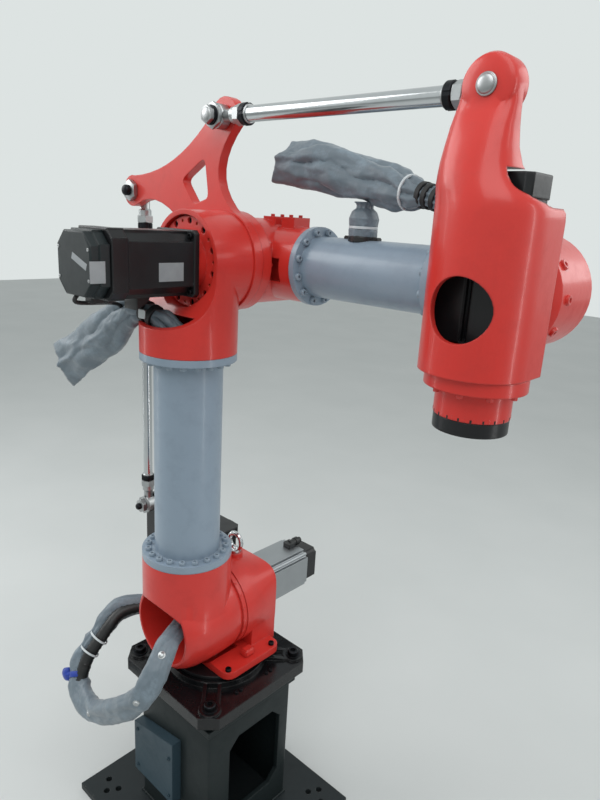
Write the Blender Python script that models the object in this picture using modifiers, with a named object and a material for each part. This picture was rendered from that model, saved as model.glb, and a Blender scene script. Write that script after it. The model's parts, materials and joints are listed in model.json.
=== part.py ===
"""Industrial robot arm with two parallel linkages, on its steel pedestal.

The frame stands on the floor with its origin on the waist axis. +Z is up, +X
points along the forearm, and +Y is the side on which the forearm lies. Every
piece is modelled where it stands with the lower arm upright and the forearm
level.
"""

import math

import bmesh
import bpy
from mathutils import Matrix, Vector

# Lengths are in metres.
MM = 0.001

# Joint places and links
SHOULDER_X = -25 * MM
SHOULDER_Z = 595 * MM
LOWER_ARM_LENGTH = 842 * MM
FOREARM_LENGTH = 611 * MM
HEAD_OFFSET = 18 * MM
LEVER_REACH = 334 * MM
LEVER_RISE = 140 * MM
MAST_RISE = 286 * MM
COLUMN_Y = -77 * MM
FOREARM_Y = 147 * MM
TOOL_Y = -7 * MM

# Gaps between neighbours
TOUCH = 0.3 * MM
RUNNING_GAP = 0.6 * MM
OVERRUN = 5 * MM
WELD_DISTANCE = 0.01 * MM

# Floor plate and pedestal
PLATE_LENGTH = 540 * MM
PLATE_WIDTH = 486 * MM
PLATE_THICK = 20 * MM
POST_SIDE = 270 * MM
POST_WALL = 12 * MM
POST_HEIGHT = 364 * MM
POST_CORNER = 8 * MM
CUT_OUT_WIDTH = 170 * MM
CUT_OUT_HEIGHT = 230 * MM
CUT_OUT_CLIP = 28 * MM
CUT_OUT_DROP = 60 * MM
CUT_OUT_SHIFT = 15 * MM
TOP_PLATE_SIDE = 286 * MM
TOP_PLATE_THICK = 16 * MM
SIDE_BOX_LENGTH = 160 * MM
SIDE_BOX_DEPTH = 26 * MM
SIDE_BOX_HEIGHT = 180 * MM
SIDE_BOX_SLOPE = 30 * MM
SIDE_BOX_DROP = 84 * MM
SIDE_BOX_SHIFT = -50 * MM

# Base casting
CASTING_HALF = 172 * MM
CASTING_CLIP = 34 * MM
CASTING_HEIGHT = 72 * MM
CASTING_FLANGE = 30 * MM
CASTING_SINK = 14 * MM
CASTING_WAIST = 132 * MM
CASTING_RING = 122 * MM
EAR_PITCH = 272 * MM
EAR_RADIUS = 26 * MM
EAR_RISE = 5 * MM
RIB_THICK = 9 * MM
RIB_SPREAD = 17 * MM
RIB_END = 190 * MM

# Turret
SLEW_RADIUS = 112 * MM
SLEW_HEIGHT = 8 * MM
FOOT_THICK = 18 * MM
FOOT_FRONT = 68 * MM
FOOT_BACK = 202 * MM
FOOT_STEP_X = -125 * MM
FOOT_STEP_Y = 110 * MM
FOOT_RIGHT = 118 * MM
FOOT_LEFT = 252 * MM
FOOT_CORNER = 24 * MM
DRUM_RADIUS = 112 * MM
DRUM_BACK = 52 * MM
BODY_HALF = 100 * MM
BODY_BACK = 128 * MM
BODY_TOP = 94 * MM
SEAM_Y = 22 * MM
EYE_BOLT_Y = 74 * MM
EYE_BOLT_SEAT = 20 * MM
EYE_BOLT_RISE = 118 * MM
EYE_BOLT_LOOP = 21 * MM
EYE_BOLT_WIRE = 6 * MM
EYE_BOLT_COLLAR = 16 * MM
EYE_BOLT_COLLAR_HEIGHT = 8 * MM

# Servo motors
SMALL_SERVO = 110 * MM
LARGE_SERVO = 130 * MM
SERVO_CLIP_SHARE = 0.13
J1_MOTOR_X = -190 * MM
J1_MOTOR_Y = 142 * MM
J1_MOTOR_HEIGHT = 200 * MM
J2_MOTOR_LENGTH = 170 * MM
J2_CAP_SIDE = 92 * MM
J2_CAP_LENGTH = 46 * MM
J3_MOTOR_LENGTH = 192 * MM
J3_CAP_LENGTH = 38 * MM
J3_CAP_MARGIN = 5 * MM
J4_MOTOR_SIDE = 80 * MM
J4_MOTOR_SHIFT = 22 * MM
J4_MOTOR_FORWARD = 3 * MM
J4_MOTOR_TOP = 176 * MM
J4_MOTOR_DROP = 78 * MM

# Lower arm
ELBOW_RADIUS = 113 * MM
ELBOW_FRONT = -150 * MM
ELBOW_RIM = 10 * MM
ELBOW_FLANGE_RADIUS = 110 * MM
ELBOW_ROOM = 12 * MM
ELBOW_FLANGE_THICK = 12 * MM
ELBOW_MOUTH = 87 * MM
ELBOW_FLOOR = -32 * MM
COLLAR_RADIUS = 103.5 * MM
COLLAR_RISE = 117 * MM
COLLAR_HEIGHT = 58 * MM
SHAFT_BORE = 62 * MM
FLANGE_RADIUS = 103.5 * MM
FLANGE_THICK = 16 * MM
TUBE_RADIUS = 74.5 * MM
HOUSING_DROP = 186 * MM
HOUSING_FACE = -90 * MM
HOUSING_BACK = 8 * MM
HOUSING_RADIUS = 104 * MM
HOUSING_RIM_DROP = 130 * MM
HOUSING_SCOOP = 103 * MM
SCOOP_START = -82
HOUSING_BORE = 91 * MM
HOUSING_FLOOR_RISE = 19 * MM
RECESS_RADIUS = 93.5 * MM
RECESS_DEPTH = 22 * MM
REDUCER_RADIUS = 91 * MM
REDUCER_HEIGHT = 14 * MM
REDUCER_HUB_RADIUS = 62 * MM
REDUCER_HUB_HEIGHT = 20 * MM

# Three-armed lever
LEVER_THICK = 22 * MM
LEVER_HUB = 108 * MM
SWING_CLEARANCE = 5 * MM
LEVER_BOSS = 36 * MM
MAST_BOSS = 40 * MM
LEVER_BOSS_ANGLES = (75, 300)
MAST_BOSS_ANGLES = (-15, 165)
PIN_RADIUS = 10 * MM
PIN_HEAD_RADIUS = 17 * MM
PIN_HEAD_HEIGHT = 14 * MM

# Connecting rods
ROD_EYE_RADIUS = 24 * MM
ROD_EYE_THICK = 24 * MM
ROD_EYE_BORE = 10.6 * MM
ROD_SHANK_RADIUS = 11 * MM
ROD_SHANK_LENGTH = 56 * MM
ROD_NUT_RADIUS = 19 * MM
ROD_NUT_LENGTH = 18 * MM
LOWER_ROD_RADIUS = 12 * MM
UPPER_ROD_RADIUS = 15 * MM
ROD_SEAT = 0.8 * MM
BRACKET_WIDTH = 56 * MM
BRACKET_THICK = 20 * MM
BRACKET_ARM_HEIGHT = 20 * MM

# Forearm
FOREARM_DISC = 106 * MM
FOREARM_DISC_THICK = 26 * MM
FOREARM_DRUM = 94 * MM
FOREARM_DRUM_BACK = 232 * MM
FOREARM_ROUND = 22 * MM
FOREARM_NECK = 80 * MM
FOREARM_FLANGE_X = 122 * MM
FOREARM_FLANGE_RADIUS = 83 * MM
FOREARM_FLANGE_THICK = 14 * MM
FOREARM_TUBE_RADIUS = 64 * MM
FOREARM_PAD_RISE = 99 * MM
FOREARM_PAD_WIDTH = 50 * MM
FOREARM_PAD_LENGTH = 38 * MM
FOREARM_PAD_PITCH = 56 * MM
POCKET_NEAR = 30 * MM
POCKET_FAR = 90 * MM
POCKET_TOP = 14 * MM
POCKET_DROP = 34 * MM
POCKET_FLOOR = 96 * MM
WRIST_RADIUS = 98 * MM
WRIST_FACE_RADIUS = 78 * MM
WRIST_FRONT = 60 * MM
WRIST_BACK = 226 * MM
WRIST_NECK = 118 * MM
STUB_X = 245 * MM
STUB_RADIUS = 24 * MM
STUB_HEIGHT = 80 * MM
STUB_COLLAR = 30 * MM
STUB_COLLAR_HEIGHT = 12 * MM

# Head
SHELL_RADIUS = 90 * MM
SHELL_WALL = 10 * MM
SHELL_BACK = 50 * MM
SHELL_DROP = 114 * MM
WINDOW_RADIUS = 48 * MM
WINDOW_DROP = 14 * MM
LUG_RADIUS = 42 * MM
LUG_THICK = 38 * MM
LUG_ROUND = 9 * MM
HEAD_HUB_RADIUS = 74 * MM
ADAPTOR_RADIUS = 80 * MM
ADAPTOR_HEIGHT = 22 * MM
TOOL_REDUCER_RADIUS = 60 * MM
TOOL_REDUCER_DROP = 182 * MM
TOOL_DISC_RADIUS = 59 * MM
TOOL_DISC_THICK = 23 * MM

# Shape of the lever, as shares of its reach and of its mast
LEVER_TOP_BEND_SHARES = (-0.48, 0.63)
LEVER_FOOT_BEND_SHARES = (-0.66, 0.54)
LEVER_BACK_BEND_SHARES = (-0.25, 0.57)
LEVER_HUB_START_SHARES = (0.22, 0.27)
LEVER_HUB_END_SHARES = (-0.30, 0.14)
LEVER_WINDOW_SHARES = ((-0.42, 0.58), (-0.29, 0.40), (-0.14, 0.45), (-0.18, 0.74))
LEVER_WINDOW_CORNER_SHARE = 0.2

# Shape of the elbow: share of its radius, and of its depth from its flange
ELBOW_SHARES = (
    (0.93, 0), (0.985, 0.10), (1, 0.24), (1, 0.60), (0.985, 0.74),
    (0.94, 0.87), (0.88, 0.96), (0.82, 1),
)

# Shape of the head: height as a share of the mast's rise, then the reach to
# the left, right and front as shares of the shell's radius, to the back as a
# share of the shell's back, and how round the front is
HEAD_FOOT_SHARES = (1, 0.89, 1, 1, 1)
HEAD_SHARES = (
    (0.20, 1.00, 0.89, 1.00, 1.00, 1.00),
    (0.40, 1.00, 0.89, 1.00, 1.00, 1.00),
    (0.44, 0.99, 0.885, 0.99, 0.95, 0.97),
    (0.475, 0.98, 0.85, 0.98, 0.70, 0.94),
    (0.51, 0.965, 0.76, 0.96, 0.35, 0.90),
    (0.545, 0.945, 0.62, 0.94, 0.05, 0.86),
    (0.59, 0.915, 0.50, 0.90, -0.20, 0.80),
    (0.65, 0.87, 0.39, 0.85, -0.36, 0.73),
    (0.73, 0.82, 0.32, 0.77, -0.44, 0.66),
    (0.82, 0.775, 0.285, 0.68, -0.44, 0.60),
    (0.88, 0.745, 0.273, 0.59, -0.44, 0.57),
    (0.93, 0.715, 0.268, 0.53, -0.44, 0.54),
    (1.00, 0.667, 0.267, 0.52, -0.44, 0.50),
)
CAVITY_SHARES = (
    (0.20, 1.00, 0.89, 1.00, 1.00, 1.00),
    (0.40, 0.99, 0.95, 0.98, 1.04, 1.00),
    (0.52, 0.92, 1.00, 0.88, 1.10, 0.95),
    (0.63, 0.78, 1.00, 0.76, 1.10, 0.85),
)
DEEP_SHARE = 0.9
SQUARE_POWER = 5

# Cloth sleeves over the cables
# routes of the sleeves from the shoulder axis or the elbow axis
UPPER_SLEEVE_RADIUS = 19 * MM
UPPER_SLEEVE_SHARES = (0.9, 1, 1, 1, 1.7, 2.2)
UPPER_SLEEVE_ROUTE = (
    (0.021, -0.122, -0.149), (-0.007, -0.144, -0.117), (-0.053, -0.154, -0.102),
    (-0.103, -0.155, -0.108), (-0.205, -0.152, -0.175), (-0.375, -0.155, -0.272),
)
FOREARM_SLEEVE_RADIUS = 34 * MM
FOREARM_SLEEVE_SHARES = (1.1, 1.45, 1.5, 1.25, 1.05, 0.8, 0.55)
FOREARM_SLEEVE_ROUTE = (
    (0.062, 0.135, 0.206), (0.120, 0.138, 0.204), (0.175, 0.142, 0.197),
    (0.270, 0.147, 0.1785), (0.360, 0.140, 0.158), (0.430, 0.130, 0.148),
    (0.500, 0.122, 0.130),
)
LOWER_SLEEVE_RADIUS = 24 * MM
LOWER_SLEEVE_SHARES = (1, 1, 1, 1, 1, 1, 1, 1, 1, 1, 1, 0.8)
LOWER_SLEEVE_ROUTE = (
    (0.013, -0.080, 0.005), (0.043, -0.135, 0.011), (0.061, -0.180, 0.003),
    (0.078, -0.222, -0.035), (0.067, -0.254, -0.091), (-0.021, -0.264, -0.178),
    (-0.126, -0.262, -0.243), (-0.209, -0.252, -0.245), (-0.250, -0.225, -0.200),
    (-0.246, -0.180, -0.140), (-0.232, -0.115, -0.079), (-0.175, -0.030, -0.0759),
)

# Facets on round pieces
FINE = 48
MEDIUM = 32
COARSE = 20

# Places worked out from the sizes above
ELBOW_Z = SHOULDER_Z + LOWER_ARM_LENGTH
WRIST_X = SHOULDER_X + FOREARM_LENGTH
HEAD_X = WRIST_X + HEAD_OFFSET
LEVER_X = SHOULDER_X - LEVER_REACH
MAST_Z = ELBOW_Z + MAST_RISE
POST_TOP = PLATE_THICK + TOUCH + POST_HEIGHT
CASTING_FOOT = POST_TOP + TOUCH + TOP_PLATE_THICK + TOUCH
CASTING_TOP = CASTING_FOOT + CASTING_HEIGHT
FOOT_Z = CASTING_TOP + RUNNING_GAP + SLEW_HEIGHT
COLLAR_FOOT = SHOULDER_Z + COLLAR_RISE
COLLAR_TOP = COLLAR_FOOT + COLLAR_HEIGHT
HOUSING_FOOT = ELBOW_Z - HOUSING_DROP
HOUSING_RIM = ELBOW_Z - HOUSING_RIM_DROP
HOUSING_FLOOR = HOUSING_FOOT + HOUSING_FLOOR_RISE
LEVER_Y = HOUSING_BACK + RUNNING_GAP
LEVER_BACK = LEVER_Y + LEVER_THICK
LOWER_ROD_Y = LEVER_BACK + ROD_SEAT + ROD_EYE_THICK / 2
UPPER_ROD_Y = LEVER_Y - ROD_SEAT - ROD_EYE_THICK / 2
DISC_Y = LEVER_BACK + RUNNING_GAP
TUBE_FOOT = COLLAR_TOP + TOUCH
TUBE_TOP = HOUSING_FOOT - TOUCH

PARTS = "industrial_robot_arm"
TOOLS = "cutters"


def clear_scene():
    """Remove every object that the file opens with."""
    for thing in list(bpy.data.objects):
        bpy.data.objects.remove(thing, do_unlink=True)
    for name in (PARTS, TOOLS):
        bpy.context.scene.collection.children.link(bpy.data.collections.new(name))


def finish(name, colour, roughness, metallic):
    """Return a plain material for one kind of surface."""
    material = bpy.data.materials.new(name)
    material.use_nodes = True
    shader = material.node_tree.nodes["Principled BSDF"]
    shader.inputs["Base Color"].default_value = (*colour, 1)
    shader.inputs["Roughness"].default_value = roughness
    shader.inputs["Metallic"].default_value = metallic
    material.diffuse_color = (*colour, 1)
    return material


def add_object(name, mesh):
    """Link a mesh to the scene as a new piece."""
    thing = bpy.data.objects.new(name, mesh)
    bpy.data.collections[PARTS].objects.link(thing)
    return thing


def from_bmesh(name, shape):
    """Turn a finished bmesh into a piece."""
    bmesh.ops.recalc_face_normals(shape, faces=shape.faces)
    mesh = bpy.data.meshes.new(name)
    shape.to_mesh(mesh)
    shape.free()
    return add_object(name, mesh)


def block(name, low, high):
    """Box between two corners."""
    low = Vector(low)
    high = Vector(high)
    shape = bmesh.new()
    bmesh.ops.create_cube(shape, size=1)
    bmesh.ops.scale(shape, vec=high - low, verts=shape.verts)
    thing = from_bmesh(name, shape)
    thing.location = (low + high) / 2
    return thing


def turn_to(axis):
    """Rotation that lays a piece's own Z along X, Y or Z."""
    quarter = math.pi / 2
    turns = {"X": (0, quarter, 0), "Y": (-quarter, 0, 0), "Z": (0, 0, 0)}
    return turns[axis]


def cylinder(name, radius, length, start, axis="Z", sides=MEDIUM, end_radius=None):
    """Cylinder or cone that begins at start and runs along an axis."""
    shape = bmesh.new()
    far = radius if end_radius is None else end_radius
    bmesh.ops.create_cone(
        shape, cap_ends=True, segments=sides, radius1=radius, radius2=far, depth=length
    )
    bmesh.ops.translate(shape, vec=(0, 0, length / 2), verts=shape.verts)
    thing = from_bmesh(name, shape)
    thing.location = start
    thing.rotation_euler = turn_to(axis)
    return thing


def turned(name, profile, start, axis="Z", sides=MEDIUM):
    """Turn a profile of (radius, height) points, from its top to its foot."""
    mesh = bpy.data.meshes.new(name)
    points = [(radius, 0, height) for radius, height in profile]
    edges = [(index, index + 1) for index in range(len(points) - 1)]
    mesh.from_pydata(points, edges, [])
    thing = add_object(name, mesh)
    screw = thing.modifiers.new("Turn", "SCREW")
    screw.steps = sides
    screw.render_steps = sides
    screw.use_merge_vertices = True
    screw.merge_threshold = WELD_DISTANCE
    screw.use_smooth_shade = True
    thing.location = start
    thing.rotation_euler = turn_to(axis)
    return thing


def to_mesh(thing):
    """Replace a curve by its own closed mesh."""
    graph = bpy.context.evaluated_depsgraph_get()
    mesh = bpy.data.meshes.new_from_object(thing.evaluated_get(graph))
    shape = bmesh.new()
    shape.from_mesh(mesh)
    bmesh.ops.remove_doubles(shape, verts=shape.verts, dist=WELD_DISTANCE)
    shape.to_mesh(mesh)
    shape.free()
    name = thing.name
    place = thing.matrix_world.copy()
    bpy.data.objects.remove(thing)
    piece = add_object(name, mesh)
    piece.matrix_world = place
    return piece


def outline(name, loops, thickness, origin, facing="Z"):
    """Plate cut to closed outlines, thickness centred on its origin."""
    curve = bpy.data.curves.new(name, "CURVE")
    curve.dimensions = "2D"
    curve.fill_mode = "BOTH"
    curve.extrude = thickness / 2
    for points in loops:
        spline = curve.splines.new("POLY")
        spline.points.add(len(points) - 1)
        for point, place in zip(spline.points, points):
            point.co = (place[0], place[1], 0, 1)
        spline.use_cyclic_u = True
    thing = bpy.data.objects.new(name, curve)
    bpy.data.collections[PARTS].objects.link(thing)
    turns = {"Z": (0, 0, 0), "Y": (math.pi / 2, 0, 0), "X": (math.pi / 2, 0, math.pi / 2)}
    thing.location = origin
    thing.rotation_euler = turns[facing]
    bpy.context.view_layer.update()
    return to_mesh(thing)


def arc(centre, radius, start, end, steps):
    """Points of a flat arc, angles in degrees."""
    points = []
    for index in range(steps + 1):
        angle = math.radians(start + (end - start) * index / steps)
        points.append((centre[0] + radius * math.cos(angle), centre[1] + radius * math.sin(angle)))
    return points


def tube(name, origin, route, radius, shares, steps=4):
    """Soft tube along a smooth curve, with a share of the radius for each point."""
    points = [Vector(origin) + Vector(step) for step in route]
    path = []
    widths = []
    for index in range(len(points) - 1):
        before = Vector(points[max(index - 1, 0)])
        here = Vector(points[index])
        there = Vector(points[index + 1])
        after = Vector(points[min(index + 2, len(points) - 1)])
        for step in range(steps):
            share = step / steps
            linear = (there - before) * share
            square = (2 * before - 5 * here + 4 * there - after) * share**2
            cube = (3 * here - 3 * there + after - before) * share**3
            path.append(here + (linear + square + cube) / 2)
            widths.append(shares[index] + (shares[index + 1] - shares[index]) * share)
    path.append(Vector(points[-1]))
    widths.append(shares[-1])
    curve = bpy.data.curves.new(name, "CURVE")
    curve.dimensions = "3D"
    curve.bevel_depth = radius
    curve.bevel_resolution = 2
    curve.use_fill_caps = True
    spline = curve.splines.new("POLY")
    spline.points.add(len(path) - 1)
    for point, spot, width in zip(spline.points, path, widths):
        point.co = (*spot, 1)
        point.radius = width
    thing = bpy.data.objects.new(name, curve)
    bpy.data.collections[PARTS].objects.link(thing)
    bpy.context.view_layer.update()
    return to_mesh(thing)


def set_aside(tool):
    """Hide a shape that only cuts or joins another."""
    bpy.data.collections[PARTS].objects.unlink(tool)
    bpy.data.collections[TOOLS].objects.link(tool)
    tool.hide_render = True
    tool.display_type = "WIRE"


def combine(piece, tool, operation):
    """Cut a piece by a tool, or join the tool to it."""
    change = piece.modifiers.new(tool.name, "BOOLEAN")
    change.operation = operation
    change.solver = "EXACT"
    change.object = tool
    set_aside(tool)


def cut(piece, *tools):
    """Take each tool out of the piece."""
    for tool in tools:
        combine(piece, tool, "DIFFERENCE")


def join(piece, *tools):
    """Make each tool one body with the piece."""
    for tool in tools:
        combine(piece, tool, "UNION")


def round_edges(piece, width, segments=2, limit=40):
    """Round the sharp edges of a piece."""
    bevel = piece.modifiers.new("Rounded edges", "BEVEL")
    bevel.width = width
    bevel.segments = segments
    bevel.limit_method = "ANGLE"
    bevel.angle_limit = math.radians(limit)
    bevel.use_clamp_overlap = True


def place(pieces, material, body):
    """Give pieces their finish and the body that carries them."""
    for piece in pieces:
        piece.data.materials.clear()
        piece.data.materials.append(material)
        if piece.type == "MESH" and piece.data.polygons:
            piece.data.shade_smooth()
            piece.data.set_sharp_from_angle(angle=math.radians(32))
        piece.parent = body
        piece.matrix_parent_inverse = body.matrix_world.inverted()


def pivot(name, location, parent=None):
    """Empty on a joint axis."""
    empty = bpy.data.objects.new(name, None)
    bpy.data.collections[PARTS].objects.link(empty)
    empty.location = location
    if parent:
        empty.parent = parent
        bpy.context.view_layer.update()
        empty.matrix_parent_inverse = parent.matrix_world.inverted()
    bpy.context.view_layer.update()
    return empty


def servo(name, side, length, start, axis):
    """Square servo body with clipped corners."""
    half = side / 2
    clip = side * SERVO_CLIP_SHARE
    corners = []
    for turn in range(4):
        angle = math.pi / 2 * turn
        for across, along in ((half, half - clip), (half - clip, half)):
            x = across * math.cos(angle) - along * math.sin(angle)
            y = across * math.sin(angle) + along * math.cos(angle)
            corners.append((x, y))
    piece = outline(name, [corners], length, (0, 0, 0))
    turn = Matrix.Identity(4)
    if axis == "Y":
        turn = Matrix.Rotation(-math.pi / 2, 4, "X")
    piece.matrix_world = Matrix.Translation(start) @ turn @ Matrix.Translation((0, 0, length / 2))
    return piece


def bend(start, middle, end, steps):
    """Points of a smooth bend from start to end, pulled towards middle."""
    points = []
    for index in range(1, steps):
        share = index / steps
        rest = 1 - share
        points.append(tuple(
            a * rest**2 + 2 * b * rest * share + c * share**2
            for a, b, c in zip(start, middle, end)
        ))
    return points


def loft(name, sections):
    """Skin over sections that have the same number of points."""
    shape = bmesh.new()
    rows = [[shape.verts.new(point) for point in section] for section in sections]
    count = len(rows[0])
    for low, high in zip(rows, rows[1:]):
        for index in range(count):
            after = (index + 1) % count
            shape.faces.new((low[index], low[after], high[after], high[index]))
    shape.faces.new(reversed(rows[0]))
    shape.faces.new(rows[-1])
    return from_bmesh(name, shape)


def build_pedestal(body, finishes):
    """Floor plate, hollow post with its cut-out, side box and top plate."""
    half_length = PLATE_LENGTH / 2
    half_width = PLATE_WIDTH / 2
    plate = block("floor_plate", (-half_length, -half_width, 0), (half_length, half_width, PLATE_THICK))
    half = POST_SIDE / 2
    foot = PLATE_THICK + TOUCH
    post = block("pedestal_post", (-half, -half, foot), (half, half, POST_TOP))
    round_edges(post, POST_CORNER)
    inside = half - POST_WALL
    hollow = block(
        "post_hollow", (-inside, -inside, foot - OVERRUN), (inside, inside, POST_TOP + OVERRUN)
    )
    wide = CUT_OUT_WIDTH / 2
    tall = CUT_OUT_HEIGHT / 2
    corners = [
        (-wide + CUT_OUT_CLIP, -tall), (wide - CUT_OUT_CLIP, -tall),
        (wide, -tall + CUT_OUT_CLIP), (wide, tall - CUT_OUT_CLIP),
        (wide - CUT_OUT_CLIP, tall), (-wide + CUT_OUT_CLIP, tall),
        (-wide, tall - CUT_OUT_CLIP), (-wide, -tall + CUT_OUT_CLIP),
    ]
    middle = POST_TOP - CUT_OUT_DROP - tall
    window = outline(
        "post_cut_out", [corners], POST_WALL + 2 * OVERRUN,
        (half - POST_WALL / 2, CUT_OUT_SHIFT, middle), "X",
    )
    cut(post, hollow, window)
    top_half = TOP_PLATE_SIDE / 2
    top_low = POST_TOP + TOUCH
    top = block(
        "pedestal_top_plate",
        (-top_half, -top_half, top_low), (top_half, top_half, top_low + TOP_PLATE_THICK),
    )
    near = SIDE_BOX_SHIFT - SIDE_BOX_LENGTH / 2
    far = SIDE_BOX_SHIFT + SIDE_BOX_LENGTH / 2
    box_top = POST_TOP - SIDE_BOX_DROP
    box_foot = box_top - SIDE_BOX_HEIGHT
    sides = [(near, box_foot), (far, box_foot), (far, box_top), (near, box_top - SIDE_BOX_SLOPE)]
    box = outline(
        "pedestal_side_box", [sides], SIDE_BOX_DEPTH, (0, -half - TOUCH - SIDE_BOX_DEPTH / 2, 0), "Y"
    )
    place([plate, post, top], finishes["steel_grey"], body)
    place([box], finishes["box_grey"], body)


def casting_rib(angle, shift, flange_top):
    """Sloping rib of the base casting from its ring to an ear."""
    inner = CASTING_RING - 2 * OVERRUN
    side = [
        (inner, flange_top - OVERRUN), (RIB_END, flange_top - OVERRUN),
        (RIB_END, flange_top + EAR_RISE / 2), (inner, CASTING_TOP - RUNNING_GAP),
    ]
    rib = outline("casting_rib", [side], RIB_THICK, (0, shift, 0), "Y")
    rib.matrix_world = Matrix.Rotation(angle, 4, "Z") @ rib.matrix_world
    return rib


def build_base_casting(body, finishes):
    """Black square casting with four bolted ears under the turret."""
    half = CASTING_HALF
    clip = CASTING_CLIP
    corners = [
        (half, -half + clip), (half, half - clip), (half - clip, half), (-half + clip, half),
        (-half, half - clip), (-half, -half + clip), (-half + clip, -half), (half - clip, -half),
    ]
    flange_top = CASTING_TOP - CASTING_SINK
    base = outline(
        "base_casting", [corners], CASTING_FLANGE, (0, 0, flange_top - CASTING_FLANGE / 2)
    )
    cone = cylinder(
        "casting_cone", CASTING_WAIST, CASTING_HEIGHT, (0, 0, CASTING_FOOT),
        sides=FINE, end_radius=CASTING_RING,
    )
    join(base, cone)
    for turn in range(4):
        angle = math.pi / 4 + turn * math.pi / 2
        reach = EAR_PITCH / 2 * math.sqrt(2)
        where = (reach * math.cos(angle), reach * math.sin(angle), flange_top - OVERRUN)
        ear = cylinder("casting_ear", EAR_RADIUS, OVERRUN + EAR_RISE, where, sides=COARSE)
        join(base, ear)
        for side in (-1, 1):
            join(base, casting_rib(angle, side * RIB_SPREAD, flange_top))
    place([base], finishes["cast_black"], body)


def shoulder_drum():
    """Shoulder casting that changes from a round drum to a square back."""
    sections = []
    for y, power, half, top in (
        (SEAM_Y, 2, DRUM_RADIUS, DRUM_RADIUS), (DRUM_BACK, 2, DRUM_RADIUS, DRUM_RADIUS),
        (BODY_BACK, SQUARE_POWER, BODY_HALF, BODY_TOP),
    ):
        section = []
        for index in range(FINE):
            across = math.cos(math.tau * index / FINE)
            up = math.sin(math.tau * index / FINE)
            reach = (abs(across) ** power + abs(up) ** power) ** (-1 / power)
            section.append((
                SHOULDER_X + across * reach * half, y, SHOULDER_Z + up * reach * top,
            ))
        sections.append(section)
    return loft("shoulder_drum", sections)


def build_turret(body, finishes):
    """Slewing table, shoulder drum, waist and shoulder motors, eye bolt."""
    slew = cylinder(
        "slewing_ring", SLEW_RADIUS, SLEW_HEIGHT, (0, 0, CASTING_TOP + RUNNING_GAP), sides=FINE
    )
    foot_corners = (
        arc((FOOT_RIGHT - FOOT_CORNER, -FOOT_FRONT + FOOT_CORNER), FOOT_CORNER, -90, 0, 4)
        + arc((FOOT_RIGHT - FOOT_CORNER, FOOT_STEP_Y - FOOT_CORNER), FOOT_CORNER, 0, 90, 4)
        + [(FOOT_STEP_X, FOOT_STEP_Y)]
        + arc((FOOT_STEP_X - FOOT_CORNER, FOOT_BACK - FOOT_CORNER), FOOT_CORNER, 0, 90, 4)
        + arc((-FOOT_LEFT + FOOT_CORNER, FOOT_BACK - FOOT_CORNER), FOOT_CORNER, 90, 180, 4)
        + arc((-FOOT_LEFT + FOOT_CORNER, -FOOT_FRONT + FOOT_CORNER), FOOT_CORNER, 180, 270, 4)
    )
    low = FOOT_Z + TOUCH
    turret = outline("turret_casting", [foot_corners], FOOT_THICK, (0, 0, low + FOOT_THICK / 2))
    drum = shoulder_drum()
    half = BODY_HALF - RUNNING_GAP
    back = block(
        "shoulder_back", (SHOULDER_X - half, DRUM_BACK - OVERRUN, low + OVERRUN),
        (SHOULDER_X + half, BODY_BACK - RUNNING_GAP, SHOULDER_Z + OVERRUN),
    )
    seat = cylinder(
        "eye_bolt_seat", EYE_BOLT_SEAT, EYE_BOLT_RISE - BODY_TOP / 2,
        (SHOULDER_X, EYE_BOLT_Y, SHOULDER_Z + BODY_TOP / 2), sides=COARSE,
    )
    room_start = -FOOT_FRONT - OVERRUN
    room = cylinder(
        "elbow_room", ELBOW_FLANGE_RADIUS + ELBOW_ROOM, SEAM_Y - room_start,
        (SHOULDER_X, room_start, SHOULDER_Z), "Y", FINE,
    )
    join(turret, drum, back, seat)
    cut(turret, room)
    seat_top = FOOT_Z + TOUCH + FOOT_THICK + TOUCH
    waist = servo("j1_motor", SMALL_SERVO, J1_MOTOR_HEIGHT, (J1_MOTOR_X, J1_MOTOR_Y, seat_top), "Z")
    shoulder = servo(
        "j2_motor", SMALL_SERVO, J2_MOTOR_LENGTH, (SHOULDER_X, BODY_BACK + TOUCH, SHOULDER_Z), "Y"
    )
    cap_start = BODY_BACK + TOUCH + J2_MOTOR_LENGTH + TOUCH
    cap = servo("j2_motor_cap", J2_CAP_SIDE, J2_CAP_LENGTH, (SHOULDER_X, cap_start, SHOULDER_Z), "Y")
    collar_foot = SHOULDER_Z + EYE_BOLT_RISE + TOUCH
    eye = cylinder(
        "eye_bolt", EYE_BOLT_COLLAR, EYE_BOLT_COLLAR_HEIGHT, (SHOULDER_X, EYE_BOLT_Y, collar_foot),
        sides=COARSE,
    )
    bpy.ops.mesh.primitive_torus_add(
        major_radius=EYE_BOLT_LOOP, minor_radius=EYE_BOLT_WIRE,
        major_segments=COARSE, minor_segments=8,
        location=(SHOULDER_X, EYE_BOLT_Y, collar_foot + EYE_BOLT_COLLAR_HEIGHT + EYE_BOLT_LOOP),
        rotation=(math.pi / 2, 0, 0),
    )
    loop = bpy.context.object
    loop.name = "eye_bolt_loop"
    for group in list(loop.users_collection):
        group.objects.unlink(loop)
    bpy.data.collections[PARTS].objects.link(loop)
    join(eye, loop)
    place([turret], finishes["red"], body)
    place([slew, waist, cap], finishes["cast_black"], body)
    place([shoulder], finishes["aluminium"], body)
    place([eye], finishes["bright_steel"], body)


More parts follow.
